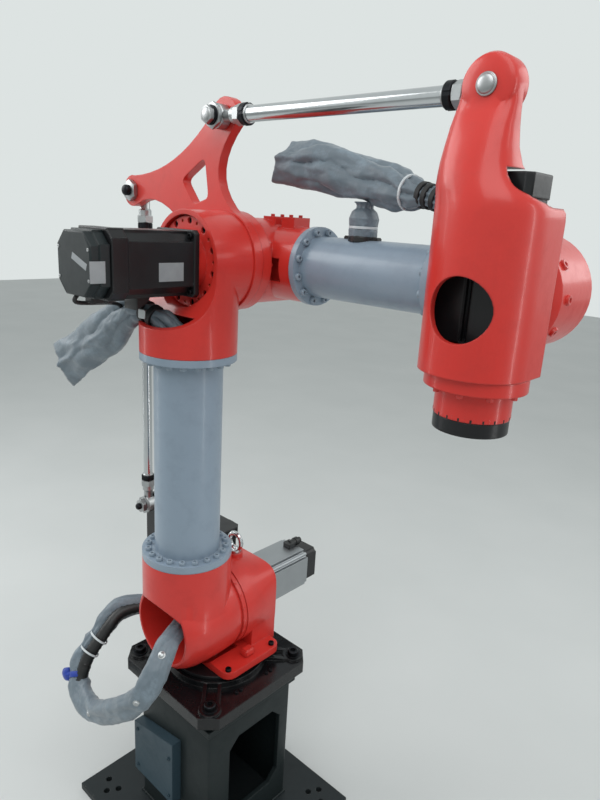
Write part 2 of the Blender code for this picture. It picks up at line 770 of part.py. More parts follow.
def build_rod_bracket(body, finishes):
    """Black upright that holds the lower rod's foot pin."""
    back = LOWER_ROD_Y + ROD_EYE_THICK / 2 + ROD_SEAT
    low = FOOT_Z + TOUCH + FOOT_THICK + TOUCH
    half = BRACKET_WIDTH / 2
    top_z = SHOULDER_Z + LEVER_RISE
    upright = (
        arc((LEVER_X, top_z), half, 0, 180, 10)
        + [(LEVER_X - half, low), (-FOOT_LEFT + BRACKET_WIDTH, low)]
        + [(-FOOT_LEFT + BRACKET_WIDTH, low + BRACKET_ARM_HEIGHT)]
        + [(LEVER_X + half + BRACKET_WIDTH, low + BRACKET_ARM_HEIGHT)]
        + [(LEVER_X + half, low + BRACKET_ARM_HEIGHT + BRACKET_WIDTH)]
    )
    bracket = outline("rod_bracket", [upright], BRACKET_THICK, (0, back + BRACKET_THICK / 2, 0), "Y")
    hole = cylinder(
        "bracket_hole", PIN_RADIUS + TOUCH, BRACKET_THICK + 2 * OVERRUN,
        (LEVER_X, back - OVERRUN, top_z), "Y", COARSE,
    )
    cut(bracket, hole)
    place([bracket], finishes["cast_black"], body)
    pin = pivot_pin(
        "rod_bracket_pin", (LEVER_X, LOWER_ROD_Y - ROD_EYE_THICK / 2, top_z),
        back + BRACKET_THICK - LOWER_ROD_Y + ROD_EYE_THICK / 2, True,
    )
    place([pin], finishes["bright_steel"], body)


def pivot_pin(name, start, length, head_in_front):
    """Pin along Y with a round head at one end."""
    x, y, z = start
    pin = cylinder(name, PIN_RADIUS, length, start, "Y", COARSE)
    if head_in_front:
        head_y = y - TOUCH - PIN_HEAD_HEIGHT
    else:
        head_y = y + length + TOUCH
    shift = TOUCH + OVERRUN
    neck_y = y - shift if head_in_front else y + length - OVERRUN
    head = cylinder("pin_head", PIN_HEAD_RADIUS, PIN_HEAD_HEIGHT, (x, head_y, z), "Y", 6)
    neck = cylinder("pin_neck", PIN_RADIUS, shift + OVERRUN, (x, neck_y, z), "Y", COARSE)
    join(pin, neck, head)
    return pin


def build_lower_arm(body, finishes):
    """Elbow casting with its round mouth, column tube and upper housing."""
    back = SEAM_Y - RUNNING_GAP
    rim = ELBOW_RADIUS - ELBOW_RIM
    flange_foot = back - ELBOW_FLANGE_THICK
    depth = flange_foot - ELBOW_FRONT
    profile = [(0, back), (ELBOW_FLANGE_RADIUS, back), (ELBOW_FLANGE_RADIUS, flange_foot)]
    profile += [(ELBOW_RADIUS * share, flange_foot - depth * down) for share, down in ELBOW_SHARES]
    profile += [(0, ELBOW_FRONT)]
    elbow = turned("lower_elbow", profile, (SHOULDER_X, 0, SHOULDER_Z), "Y", FINE)
    collar_profile = [
        (0, COLLAR_TOP), (COLLAR_RADIUS, COLLAR_TOP), (COLLAR_RADIUS, COLLAR_FOOT),
        (rim, SHOULDER_Z), (0, SHOULDER_Z),
    ]
    collar = turned("elbow_collar", collar_profile, (SHOULDER_X, COLUMN_Y, 0), sides=FINE)
    join(elbow, collar)
    mouth_start = COLUMN_Y - COLLAR_RADIUS - OVERRUN
    mouth = cylinder(
        "elbow_mouth", ELBOW_MOUTH, ELBOW_FLOOR - mouth_start,
        (SHOULDER_X, mouth_start, SHOULDER_Z), "Y", MEDIUM,
    )
    shaft = cylinder(
        "elbow_shaft", SHAFT_BORE, COLLAR_TOP + OVERRUN - SHOULDER_Z,
        (SHOULDER_X, COLUMN_Y, SHOULDER_Z), sides=MEDIUM,
    )
    drum_room = cylinder(
        "drum_room", DRUM_RADIUS + SWING_CLEARANCE, COLLAR_RADIUS, (SHOULDER_X, back, SHOULDER_Z),
        "Y", FINE,
    )
    cut(elbow, mouth, shaft, drum_room)
    profile = [
        (0, TUBE_TOP), (FLANGE_RADIUS, TUBE_TOP), (FLANGE_RADIUS, TUBE_TOP - FLANGE_THICK),
        (TUBE_RADIUS, TUBE_TOP - FLANGE_THICK), (TUBE_RADIUS, TUBE_FOOT + FLANGE_THICK),
        (FLANGE_RADIUS, TUBE_FOOT + FLANGE_THICK), (FLANGE_RADIUS, TUBE_FOOT), (0, TUBE_FOOT),
    ]
    column = turned("column_tube", profile, (SHOULDER_X, COLUMN_Y, 0), sides=FINE)
    housing = cylinder(
        "upper_housing", COLLAR_RADIUS, ELBOW_Z - HOUSING_FOOT,
        (SHOULDER_X, COLUMN_Y, HOUSING_FOOT), sides=FINE,
    )
    drum = cylinder(
        "housing_drum", HOUSING_RADIUS, HOUSING_BACK - HOUSING_FACE,
        (SHOULDER_X, HOUSING_FACE, ELBOW_Z), "Y", FINE,
    )
    join(housing, drum)
    front = COLUMN_Y - COLLAR_RADIUS - 2 * OVERRUN
    above = ELBOW_Z + HOUSING_RADIUS
    scoop_side = (
        [(front, HOUSING_RIM)]
        + arc((HOUSING_FACE - HOUSING_SCOOP, HOUSING_RIM + HOUSING_SCOOP), HOUSING_SCOOP, SCOOP_START, 0, 12)
        + [(HOUSING_FACE, above), (front, above)]
    )
    scoop = outline(
        "housing_scoop", [scoop_side], 2 * (HOUSING_RADIUS + OVERRUN), (SHOULDER_X, 0, 0), "X"
    )
    bore = cylinder(
        "housing_bore", HOUSING_BORE, ELBOW_Z - HOUSING_RADIUS - HOUSING_FLOOR,
        (SHOULDER_X, COLUMN_Y, HOUSING_FLOOR), sides=FINE,
    )
    floor = HOUSING_FACE + RECESS_DEPTH
    recess = cylinder(
        "housing_recess", RECESS_RADIUS, RECESS_DEPTH + REDUCER_HUB_HEIGHT,
        (SHOULDER_X, HOUSING_FACE - REDUCER_HUB_HEIGHT, ELBOW_Z), "Y", FINE,
    )
    lever_room = cylinder(
        "lever_room", LEVER_HUB + SWING_CLEARANCE, COLLAR_RADIUS,
        (SHOULDER_X, HOUSING_BACK, ELBOW_Z), "Y", FINE,
    )
    cut(housing, scoop, bore, recess, lever_room)
    ring_profile = [
        (0, REDUCER_HEIGHT + REDUCER_HUB_HEIGHT),
        (REDUCER_HUB_RADIUS, REDUCER_HEIGHT + REDUCER_HUB_HEIGHT),
        (REDUCER_HUB_RADIUS, REDUCER_HEIGHT), (REDUCER_RADIUS, REDUCER_HEIGHT),
        (REDUCER_RADIUS, 0), (0, 0),
    ]
    reducer = turned("elbow_reducer", ring_profile, (0, 0, 0), sides=FINE)
    reducer.rotation_euler = (math.pi / 2, 0, 0)
    reducer.location = (SHOULDER_X, floor - TOUCH, ELBOW_Z)
    motor_end = floor - TOUCH - REDUCER_HEIGHT - REDUCER_HUB_HEIGHT - TOUCH
    motor_start = motor_end - J3_MOTOR_LENGTH
    motor = servo(
        "j3_motor", LARGE_SERVO, J3_MOTOR_LENGTH, (SHOULDER_X, motor_start, ELBOW_Z), "Y"
    )
    cap = servo(
        "j3_motor_cap", LARGE_SERVO - 2 * J3_CAP_MARGIN, J3_CAP_LENGTH,
        (SHOULDER_X, motor_start - TOUCH - J3_CAP_LENGTH, ELBOW_Z), "Y",
    )
    place([elbow, housing, reducer], finishes["red"], body)
    place([column], finishes["grey"], body)
    place([motor, cap], finishes["cast_black"], body)


def lever_point(shares):
    """Point of the lever's outline from shares of its reach and mast."""
    return (SHOULDER_X + shares[0] * LEVER_REACH, ELBOW_Z + shares[1] * MAST_RISE)


def build_lever(body, finishes):
    """Three-armed lever plate with its window and two pins."""
    rod_pin = (LEVER_X, ELBOW_Z + LEVER_RISE)
    mast_pin = (SHOULDER_X, MAST_Z)
    left_boss = arc(rod_pin, LEVER_BOSS, *LEVER_BOSS_ANGLES, 12)
    mast_boss = arc(mast_pin, MAST_BOSS, *MAST_BOSS_ANGLES, 10)
    hub_left = lever_point(LEVER_HUB_END_SHARES)
    hub_right = lever_point(LEVER_HUB_START_SHARES)
    points = (
        left_boss
        + bend(left_boss[-1], lever_point(LEVER_FOOT_BEND_SHARES), hub_left, 8)
        + [hub_left, hub_right]
        + bend(hub_right, lever_point(LEVER_BACK_BEND_SHARES), mast_boss[0], 10)
        + mast_boss
        + bend(mast_boss[-1], lever_point(LEVER_TOP_BEND_SHARES), left_boss[0], 10)
    )
    corners = [Vector(lever_point(share)) for share in LEVER_WINDOW_SHARES]
    window = []
    for index, corner in enumerate(corners):
        before = corner.lerp(corners[index - 1], LEVER_WINDOW_CORNER_SHARE)
        after = corner.lerp(corners[(index + 1) % len(corners)], LEVER_WINDOW_CORNER_SHARE)
        window += [before] + bend(before, corner, after, 4) + [after]
    middle = LEVER_Y + LEVER_THICK / 2
    lever = outline("lever_plate", [points, window], LEVER_THICK, (0, middle, 0), "Y")
    hub = cylinder("lever_hub", LEVER_HUB, LEVER_THICK, (SHOULDER_X, LEVER_Y, ELBOW_Z), "Y", FINE)
    join(lever, hub)
    for x, z in (rod_pin, mast_pin):
        hole = cylinder(
            "lever_hole", PIN_RADIUS + TOUCH, LEVER_THICK + 2 * OVERRUN,
            (x, LEVER_Y - OVERRUN, z), "Y", COARSE,
        )
        cut(lever, hole)
    far = LOWER_ROD_Y + ROD_EYE_THICK / 2
    left_pin = pivot_pin("lever_rod_pin", (rod_pin[0], LEVER_Y, rod_pin[1]), far - LEVER_Y, True)
    near = UPPER_ROD_Y - ROD_EYE_THICK / 2
    top_pin = pivot_pin("mast_pin", (mast_pin[0], near, mast_pin[1]), LEVER_BACK - near, True)
    place([lever], finishes["red"], body)
    place([left_pin, top_pin], finishes["bright_steel"], body)


def build_rod(name, start, length, axis, radius, body, finishes):
    """Connecting rod with a threaded eye and a lock nut at each end."""
    x, y, z = start
    inset = ROD_SHANK_LENGTH + ROD_NUT_LENGTH
    along = Vector((1, 0, 0)) if axis == "X" else Vector((0, 0, 1))
    bar_start = Vector(start) + along * (inset + TOUCH)
    bar = cylinder(name, radius, length - 2 * inset - 2 * TOUCH, bar_start, axis, MEDIUM)
    pieces = []
    for label, share, sense in (("near", 0, 1), ("far", 1, -1)):
        centre = Vector(start) + along * length * share
        eye = cylinder(
            name + "_end_" + label, ROD_EYE_RADIUS, ROD_EYE_THICK,
            (centre.x, y - ROD_EYE_THICK / 2, centre.z), "Y", MEDIUM,
        )
        shank_from = centre if sense > 0 else centre - along * ROD_SHANK_LENGTH
        shank = cylinder(
            "rod_shank", ROD_SHANK_RADIUS, ROD_SHANK_LENGTH, shank_from, axis, COARSE
        )
        nut_from = centre + along * sense * (ROD_SHANK_LENGTH - OVERRUN)
        if sense < 0:
            nut_from = centre - along * inset
        nut = cylinder("rod_nut", ROD_NUT_RADIUS, ROD_NUT_LENGTH + OVERRUN, nut_from, axis, 6)
        bore = cylinder(
            "rod_bore", ROD_EYE_BORE, ROD_EYE_THICK + 2 * OVERRUN,
            (centre.x, y - ROD_EYE_THICK / 2 - OVERRUN, centre.z), "Y", COARSE,
        )
        join(eye, shank, nut)
        cut(eye, bore)
        pieces.append(eye)
    place([bar] + pieces, finishes["bright_steel"], body)


def build_forearm(body, finishes):
    """Forearm elbow, tube, wrist housing and the cable stub on top."""
    elbow = cylinder(
        "forearm_elbow", FOREARM_DISC, FOREARM_DISC_THICK, (SHOULDER_X, DISC_Y, ELBOW_Z), "Y", FINE
    )
    drum_start = DISC_Y + FOREARM_DISC_THICK - OVERRUN
    drum_profile = [
        (0, FOREARM_DRUM_BACK), (FOREARM_DRUM - FOREARM_ROUND, FOREARM_DRUM_BACK),
        (FOREARM_DRUM, FOREARM_DRUM_BACK - FOREARM_ROUND), (FOREARM_DRUM, drum_start),
        (0, drum_start),
    ]
    drum = turned("forearm_drum", drum_profile, (SHOULDER_X, 0, ELBOW_Z), "Y", FINE)
    neck = cylinder(
        "forearm_neck", FOREARM_NECK, FOREARM_FLANGE_X - SHOULDER_X,
        (SHOULDER_X, FOREARM_Y, ELBOW_Z), "X", FINE,
    )
    join(elbow, drum, neck)
    for index in (-1, 1):
        centre = SHOULDER_X + FOREARM_PAD_PITCH + index * FOREARM_PAD_PITCH / 2
        half = FOREARM_PAD_LENGTH / 2
        pad = block(
            "forearm_pad",
            (centre - half, FOREARM_Y - FOREARM_PAD_WIDTH / 2, ELBOW_Z),
            (centre + half, FOREARM_Y + FOREARM_PAD_WIDTH / 2, ELBOW_Z + FOREARM_PAD_RISE),
        )
        join(elbow, pad)
    pocket = block(
        "forearm_pocket",
        (POCKET_NEAR, DISC_Y + FOREARM_DISC_THICK, ELBOW_Z - POCKET_DROP),
        (POCKET_FAR, POCKET_FLOOR, ELBOW_Z + POCKET_TOP),
    )
    cut(elbow, pocket)
    flange_x = FOREARM_FLANGE_X + TOUCH
    wrist_edge = WRIST_X - WRIST_NECK - FOREARM_FLANGE_THICK
    length = wrist_edge - flange_x - TOUCH
    profile = [
        (0, length), (FOREARM_FLANGE_RADIUS, length),
        (FOREARM_FLANGE_RADIUS, length - FOREARM_FLANGE_THICK),
        (FOREARM_TUBE_RADIUS, length - FOREARM_FLANGE_THICK),
        (FOREARM_TUBE_RADIUS, FOREARM_FLANGE_THICK),
        (FOREARM_FLANGE_RADIUS, FOREARM_FLANGE_THICK),
        (FOREARM_FLANGE_RADIUS, 0), (0, 0),
    ]
    pipe = turned("forearm_tube", profile, (flange_x, FOREARM_Y, ELBOW_Z), "X", FINE)
    round_in = WRIST_RADIUS - WRIST_FACE_RADIUS
    wrist_profile = [
        (0, WRIST_BACK), (WRIST_FACE_RADIUS, WRIST_BACK),
        (WRIST_RADIUS, WRIST_BACK - round_in), (WRIST_RADIUS, WRIST_FRONT + round_in),
        (WRIST_FACE_RADIUS, WRIST_FRONT), (0, WRIST_FRONT),
    ]
    wrist = turned("wrist_housing", wrist_profile, (WRIST_X, 0, ELBOW_Z), "Y", FINE)
    wrist_neck = cylinder(
        "wrist_neck", FOREARM_NECK, WRIST_X - wrist_edge, (wrist_edge, FOREARM_Y, ELBOW_Z), "X", FINE
    )
    join(wrist, wrist_neck)
    stub_profile = [
        (0, STUB_HEIGHT), (STUB_RADIUS, STUB_HEIGHT), (STUB_RADIUS, STUB_COLLAR_HEIGHT),
        (STUB_COLLAR, STUB_COLLAR_HEIGHT), (STUB_COLLAR, 0), (0, 0),
    ]
    stub_foot = ELBOW_Z + FOREARM_TUBE_RADIUS - STUB_COLLAR_HEIGHT
    stub = turned("cable_stub", stub_profile, (STUB_X, FOREARM_Y, stub_foot), sides=COARSE)
    saddle = cylinder(
        "stub_saddle", FOREARM_TUBE_RADIUS + TOUCH, 4 * STUB_COLLAR,
        (STUB_X - 2 * STUB_COLLAR, FOREARM_Y, ELBOW_Z), "X", FINE,
    )
    cut(stub, saddle)
    place([elbow, wrist], finishes["red"], body)
    place([pipe], finishes["grey"], body)
    place([stub], finishes["cloth"], body)


def head_section(height, shares, inset):
    """Section of the head: flat back, straight sides and a round front."""
    left = HEAD_X - shares[0] * SHELL_RADIUS + inset
    right = HEAD_X + shares[1] * SHELL_RADIUS - inset
    front = TOOL_Y - shares[2] * SHELL_RADIUS + inset
    back = TOOL_Y + shares[3] * SHELL_BACK - inset
    half = (right - left) / 2
    deep = min(half, DEEP_SHARE * (back - front))
    points = [(right, back, height)]
    for x, y in arc((0, 0), 1, 0, -180, COARSE):
        across = math.copysign(abs(x) ** shares[4], x)
        down = math.copysign(abs(y) ** shares[4], y)
        points.append((left + half + across * half, front + deep + down * deep, height))
    points.append((left, back, height))
    return points


def build_head(body, finishes):
    """Head shell with its window and lug, drive motor and adaptor."""
    foot = ELBOW_Z - SHELL_DROP
    sections = [head_section(foot, HEAD_FOOT_SHARES, 0)]
    for row in HEAD_SHARES:
        sections.append(head_section(ELBOW_Z + row[0] * MAST_RISE, row[1:], 0))
    shell = loft("head_shell", sections)
    lug_back = UPPER_ROD_Y - ROD_EYE_THICK / 2 - ROD_SEAT
    lug_profile = [
        (0, LUG_THICK), (LUG_RADIUS, LUG_THICK), (LUG_RADIUS, LUG_ROUND),
        (LUG_RADIUS - LUG_ROUND / 3, LUG_ROUND / 3), (LUG_RADIUS - LUG_ROUND, 0), (0, 0),
    ]
    lug = turned("head_lug", lug_profile, (WRIST_X, lug_back - LUG_THICK, MAST_Z), "Y", FINE)
    hub_start = TOOL_Y + SHELL_BACK - OVERRUN
    hub = cylinder(
        "head_hub", HEAD_HUB_RADIUS, WRIST_FRONT - RUNNING_GAP - hub_start,
        (WRIST_X, hub_start, ELBOW_Z), "Y", FINE,
    )
    join(shell, lug, hub)
    cavity_sections = [head_section(foot - OVERRUN, HEAD_FOOT_SHARES, SHELL_WALL)]
    for row in CAVITY_SHARES:
        cavity_sections.append(
            head_section(ELBOW_Z + row[0] * MAST_RISE, row[1:], SHELL_WALL)
        )
    cavity = loft("head_cavity", cavity_sections)
    window = cylinder(
        "head_window", WINDOW_RADIUS, SHELL_RADIUS,
        (HEAD_X, TOOL_Y - SHELL_RADIUS - OVERRUN, ELBOW_Z - WINDOW_DROP), "Y", MEDIUM,
    )
    hole = cylinder(
        "lug_hole", PIN_RADIUS + TOUCH, LUG_THICK + 2 * OVERRUN,
        (WRIST_X, lug_back - LUG_THICK - OVERRUN, MAST_Z), "Y", COARSE,
    )
    cut(shell, cavity, window, hole)
    pin_start = lug_back - LUG_THICK
    pin_length = UPPER_ROD_Y + ROD_EYE_THICK / 2 - pin_start
    pin = pivot_pin("head_pin", (WRIST_X, pin_start, MAST_Z), pin_length, True)
    motor = servo(
        "j4_motor", J4_MOTOR_SIDE, J4_MOTOR_TOP + J4_MOTOR_DROP,
        (HEAD_X + J4_MOTOR_SHIFT, TOOL_Y - J4_MOTOR_FORWARD, ELBOW_Z - J4_MOTOR_DROP), "Z",
    )
    adaptor_top = foot - TOUCH
    half = ADAPTOR_RADIUS / 2
    flange = block(
        "adaptor_flange",
        (HEAD_X - half, TOOL_Y - half, adaptor_top - ADAPTOR_HEIGHT / 2),
        (HEAD_X + half, TOOL_Y + half, ELBOW_Z - J4_MOTOR_DROP - TOUCH),
    )
    adaptor = cylinder(
        "head_adaptor", ADAPTOR_RADIUS, ADAPTOR_HEIGHT,
        (HEAD_X, TOOL_Y, adaptor_top - ADAPTOR_HEIGHT), sides=FINE,
    )
    join(adaptor, flange)
    reducer_top = adaptor_top - ADAPTOR_HEIGHT - TOUCH
    reducer_foot = ELBOW_Z - TOOL_REDUCER_DROP
    reducer = cylinder(
        "tool_reducer", TOOL_REDUCER_RADIUS, reducer_top - reducer_foot,
        (HEAD_X, TOOL_Y, reducer_foot), sides=FINE,
    )
    place([shell, adaptor, reducer], finishes["red"], body)
    place([motor], finishes["cast_black"], body)
    place([pin], finishes["bright_steel"], body)


def build_tool_disc(body, finishes):
    """Black turning disc that carries the tool."""
    top = ELBOW_Z - TOOL_REDUCER_DROP - RUNNING_GAP
    disc = cylinder(
        "tool_disc", TOOL_DISC_RADIUS, TOOL_DISC_THICK, (HEAD_X, TOOL_Y, top - TOOL_DISC_THICK),
        sides=FINE,
    )
    place([disc], finishes["cast_black"], body)


def build_sleeves(turret, lower_arm, forearm, finishes):
    """Loose cloth sleeves over the cables, as plain soft tubes."""
    shoulder = (SHOULDER_X, 0, SHOULDER_Z)
    elbow = (SHOULDER_X, 0, ELBOW_Z)
    upper = tube(
        "upper_sleeve", elbow, UPPER_SLEEVE_ROUTE, UPPER_SLEEVE_RADIUS, UPPER_SLEEVE_SHARES
    )
    over = tube(
        "forearm_sleeve", elbow, FOREARM_SLEEVE_ROUTE, FOREARM_SLEEVE_RADIUS, FOREARM_SLEEVE_SHARES
    )
    low = tube(
        "lower_sleeve", shoulder, LOWER_SLEEVE_ROUTE, LOWER_SLEEVE_RADIUS, LOWER_SLEEVE_SHARES
    )
    place([upper], finishes["cloth"], lower_arm)
    place([over], finishes["cloth"], forearm)
    place([low], finishes["cloth"], turret)


def main():
    """Build the whole arm."""
    clear_scene()
    finishes = {
        "red": finish("Red paint", (0.62, 0.045, 0.03), 0.35, 0),
        "grey": finish("Grey paint", (0.22, 0.27, 0.32), 0.4, 0),
        "steel_grey": finish("Dark grey paint", (0.035, 0.045, 0.05), 0.5, 0),
        "box_grey": finish("Slate paint", (0.07, 0.10, 0.125), 0.5, 0),
        "cast_black": finish("Black paint", (0.012, 0.012, 0.013), 0.4, 0),
        "aluminium": finish("Cast aluminium", (0.55, 0.56, 0.57), 0.45, 1),
        "bright_steel": finish("Chromed steel", (0.6, 0.61, 0.62), 0.2, 1),
        "cloth": finish("Grey sleeve cloth", (0.12, 0.145, 0.16), 0.6, 0),
    }
    base = pivot("base", (0, 0, 0))
    turret = pivot("turret", (0, 0, FOOT_Z), base)
    lower_arm = pivot("lower_arm", (SHOULDER_X, 0, SHOULDER_Z), turret)
    lower_rod = pivot("lower_rod_pivot", (LEVER_X, LOWER_ROD_Y, SHOULDER_Z + LEVER_RISE), turret)
    lever = pivot("lever", (SHOULDER_X, 0, ELBOW_Z), lower_arm)
    upper_rod = pivot("upper_rod_pivot", (SHOULDER_X, UPPER_ROD_Y, MAST_Z), lever)
    forearm = pivot("forearm", (SHOULDER_X, 0, ELBOW_Z), lever)
    head = pivot("head", (WRIST_X, 0, ELBOW_Z), forearm)
    tool = pivot("tool", (HEAD_X, TOOL_Y, ELBOW_Z), head)
    build_pedestal(base, finishes)
    build_base_casting(base, finishes)
    build_turret(turret, finishes)
    build_rod_bracket(turret, finishes)
    build_lower_arm(lower_arm, finishes)
    build_lever(lever, finishes)
    build_rod(
        "lower_rod", (LEVER_X, LOWER_ROD_Y, SHOULDER_Z + LEVER_RISE), LOWER_ARM_LENGTH, "Z",
        LOWER_ROD_RADIUS, lower_rod, finishes,
    )
    build_rod(
        "upper_rod", (SHOULDER_X, UPPER_ROD_Y, MAST_Z), FOREARM_LENGTH, "X",
        UPPER_ROD_RADIUS, upper_rod, finishes,
    )
    build_forearm(forearm, finishes)
    build_head(head, finishes)
    build_tool_disc(tool, finishes)
    build_sleeves(turret, lower_arm, forearm, finishes)


main()
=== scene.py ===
"""Looks of an industrial robot arm: enamel, screws, chrome, cloth sleeves, stage.

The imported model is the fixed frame. Everything here is in metres in its frame:
+Z up, +X along the forearm, the origin on the floor under the waist axis.
"""

import json
import math

import bmesh
import bpy
from mathutils import Matrix, Vector, noise


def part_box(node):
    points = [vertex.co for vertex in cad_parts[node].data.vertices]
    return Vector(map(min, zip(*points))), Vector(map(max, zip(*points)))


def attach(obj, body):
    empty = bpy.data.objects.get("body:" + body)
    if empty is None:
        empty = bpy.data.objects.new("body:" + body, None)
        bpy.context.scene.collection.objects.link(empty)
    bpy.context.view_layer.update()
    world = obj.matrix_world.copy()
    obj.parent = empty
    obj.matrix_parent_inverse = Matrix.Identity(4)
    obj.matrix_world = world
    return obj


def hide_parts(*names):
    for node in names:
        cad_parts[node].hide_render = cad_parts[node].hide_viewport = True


bl_info = {
    "name": "Industrial robot arm",
    "version": (1, 0, 0),
    "blender": (4, 5, 0),
    "location": "View3D > Sidebar > Robot arm",
    "description": "Enamel, screws, chromed rods, cloth sleeves and stage of a robot arm",
    "category": "Object",
}

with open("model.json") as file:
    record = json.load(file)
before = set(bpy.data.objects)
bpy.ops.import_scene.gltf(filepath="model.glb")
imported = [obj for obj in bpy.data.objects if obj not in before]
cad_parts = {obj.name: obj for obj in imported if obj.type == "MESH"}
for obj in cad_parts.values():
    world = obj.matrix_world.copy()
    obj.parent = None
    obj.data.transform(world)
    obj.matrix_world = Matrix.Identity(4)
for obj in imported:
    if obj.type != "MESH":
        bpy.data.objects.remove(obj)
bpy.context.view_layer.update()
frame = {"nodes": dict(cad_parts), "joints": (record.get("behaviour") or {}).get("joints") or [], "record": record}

MM = 0.001
PIXELS_HIGH = 800
SENSOR = 36.0
JOINTS = {joint["name"]: Vector(joint["pos_m"]) for joint in frame["joints"]}
SHOULDER = JOINTS["shoulder_tilt"]
ELBOW = JOINTS["elbow_tilt"]
WRIST = JOINTS["head_level"]
TOOL = JOINTS["tool_turn"]
ROD_FOOT = JOINTS["lower_rod_swing"]
MAST = JOINTS["upper_rod_swing"]
LEVER_END = Vector((ROD_FOOT.x, ROD_FOOT.y, ROD_FOOT.z + ELBOW.z - SHOULDER.z))
HEAD_END = Vector((WRIST.x, MAST.y, MAST.z))

X_AXIS = Vector((1, 0, 0))
Y_AXIS = Vector((0, 1, 0))
Z_AXIS = Vector((0, 0, 1))

# Sockets of a Mix node that mixes two colours.
FIRST, SECOND, MIXED = 6, 7, 2

# Finishes and node trees by their names, filled in while the arm is made.
FINISHES = {}
TREES = {}

# Finishes of each material slot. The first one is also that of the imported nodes.
FINISHES_OF_SLOT = {
    "red_paint": ("Vermilion enamel",),
    "grey_paint": ("Blue grey enamel", "Painted screws", "Label film"),
    "plate_paint": ("Pedestal paint", "Plate paint"),
    "slate_paint": ("Slate paint",),
    "black_paint": (
        "Black enamel", "Base enamel", "Green black enamel", "Black oxide steel", "Black nylon",
        "Black rubber", "Painted recess shade",
    ),
    "aluminium": ("Die cast aluminium",),
    "bright_steel": ("Chromed steel", "Satin steel", "Zinc plated steel", "Brass plug"),
    "cloth": ("Coated cloth", "Blue cloth strip", "Clear tie plastic"),
}


class ArmColours(bpy.types.PropertyGroup):
    """Colours of the paints and the cloth, as sRGB hex values."""

    casting: bpy.props.StringProperty(
        name="Castings", description="Vermilion enamel on the castings", default="C9322B"
    )
    tube: bpy.props.StringProperty(
        name="Tubes", description="Blue-grey enamel on the two tubes", default="8494A3"
    )
    pedestal: bpy.props.StringProperty(
        name="Pedestal", description="Dark paint on the post", default="1A2223"
    )
    plate: bpy.props.StringProperty(
        name="Floor plate", description="Dusty dark paint on the floor plate", default="23292B"
    )
    side_box: bpy.props.StringProperty(
        name="Side box", description="Slate paint on the pedestal's box", default="32454F"
    )
    black: bpy.props.StringProperty(
        name="Black", description="Black enamel on motors and base casting", default="17181A"
    )
    cloth: bpy.props.StringProperty(
        name="Sleeves", description="Coated cloth of the cable sleeves", default="72808A"
    )
    tie: bpy.props.StringProperty(
        name="Tie", description="Blue cloth strip tied round a sleeve", default="1B3FA6"
    )


class ArmSizes(bpy.types.PropertyGroup):
    """Sizes of the fasteners and of the cloth's folds."""

    flange_screw: bpy.props.FloatProperty(
        name="Flange screw", description="Head radius of the tube flanges' screws",
        default=7.2 * MM, unit="LENGTH",
    )
    small_screw: bpy.props.FloatProperty(
        name="Small screw", description="Head radius of the cover screws",
        default=4.5 * MM, unit="LENGTH",
    )
    anchor_bolt: bpy.props.FloatProperty(
        name="Ear bolt", description="Head radius of the base casting's bolts",
        default=13 * MM, unit="LENGTH",
    )
    fold_depth: bpy.props.FloatProperty(
        name="Fold depth", description="How deep the sleeves' folds lie",
        default=18 * MM, unit="LENGTH",
    )


def linear(hex_colour):
    """Turn an sRGB hex value into Blender's linear colour."""
    parts = [int(hex_colour[index:index + 2], 16) / 255 for index in (0, 2, 4)]
    return tuple(c / 12.92 if c <= 0.04045 else ((c + 0.055) / 1.055) ** 2.4 for c in parts) + (1,)


def shade(hex_colour, factor):
    """Lighten or darken a hex colour, as a linear colour."""
    return tuple(min(1, c * factor) for c in linear(hex_colour)[:3]) + (1,)


def feed(tree, node, inputs):
    """Link or set the inputs of a node."""
    for key, value in inputs.items():
        if isinstance(value, bpy.types.NodeSocket):
            tree.links.new(value, node.inputs[key])
        else:
            node.inputs[key].default_value = value


def add_node(tree, kind, inputs=None, output=None, **settings):
    """Add a node with its settings and inputs, and return it or one of its outputs."""
    made = tree.nodes.new(kind)
    for key, value in settings.items():
        setattr(made, key, value)
    feed(tree, made, inputs or {})
    return made if output is None else made.outputs[output]


def new_material(name):
    """Keep a new finish, and return its tree, its shader and its object coordinates."""
    material = bpy.data.materials.new(name)
    material.use_nodes = True
    FINISHES[name] = material
    tree = material.node_tree
    place = add_node(tree, "ShaderNodeTexCoord", output="Object")
    return tree, tree.nodes["Principled BSDF"], place


def patches_of(place, size, detail=3.0, roughness=0.5):
    """Inputs of a noise texture whose patches are about size metres wide."""
    return {"Vector": place, "Scale": 1 / size, "Detail": detail, "Roughness": roughness}


def edge_mask(tree, radius):
    """How near a spot lies to a sharp edge, from 0 to 1, and the rounded normal."""
    rounded = add_node(tree, "ShaderNodeBevel", {"Radius": radius}, "Normal", samples=4)
    true = add_node(tree, "ShaderNodeNewGeometry", output="Normal")
    dot = add_node(
        tree, "ShaderNodeVectorMath", {0: rounded, 1: true}, "Value", operation="DOT_PRODUCT"
    )
    flat, sharp = 0.995, 0.86
    mask = add_node(
        tree, "ShaderNodeMapRange", {"Value": dot, "From Min": flat, "From Max": sharp}, "Result"
    )
    return mask, rounded


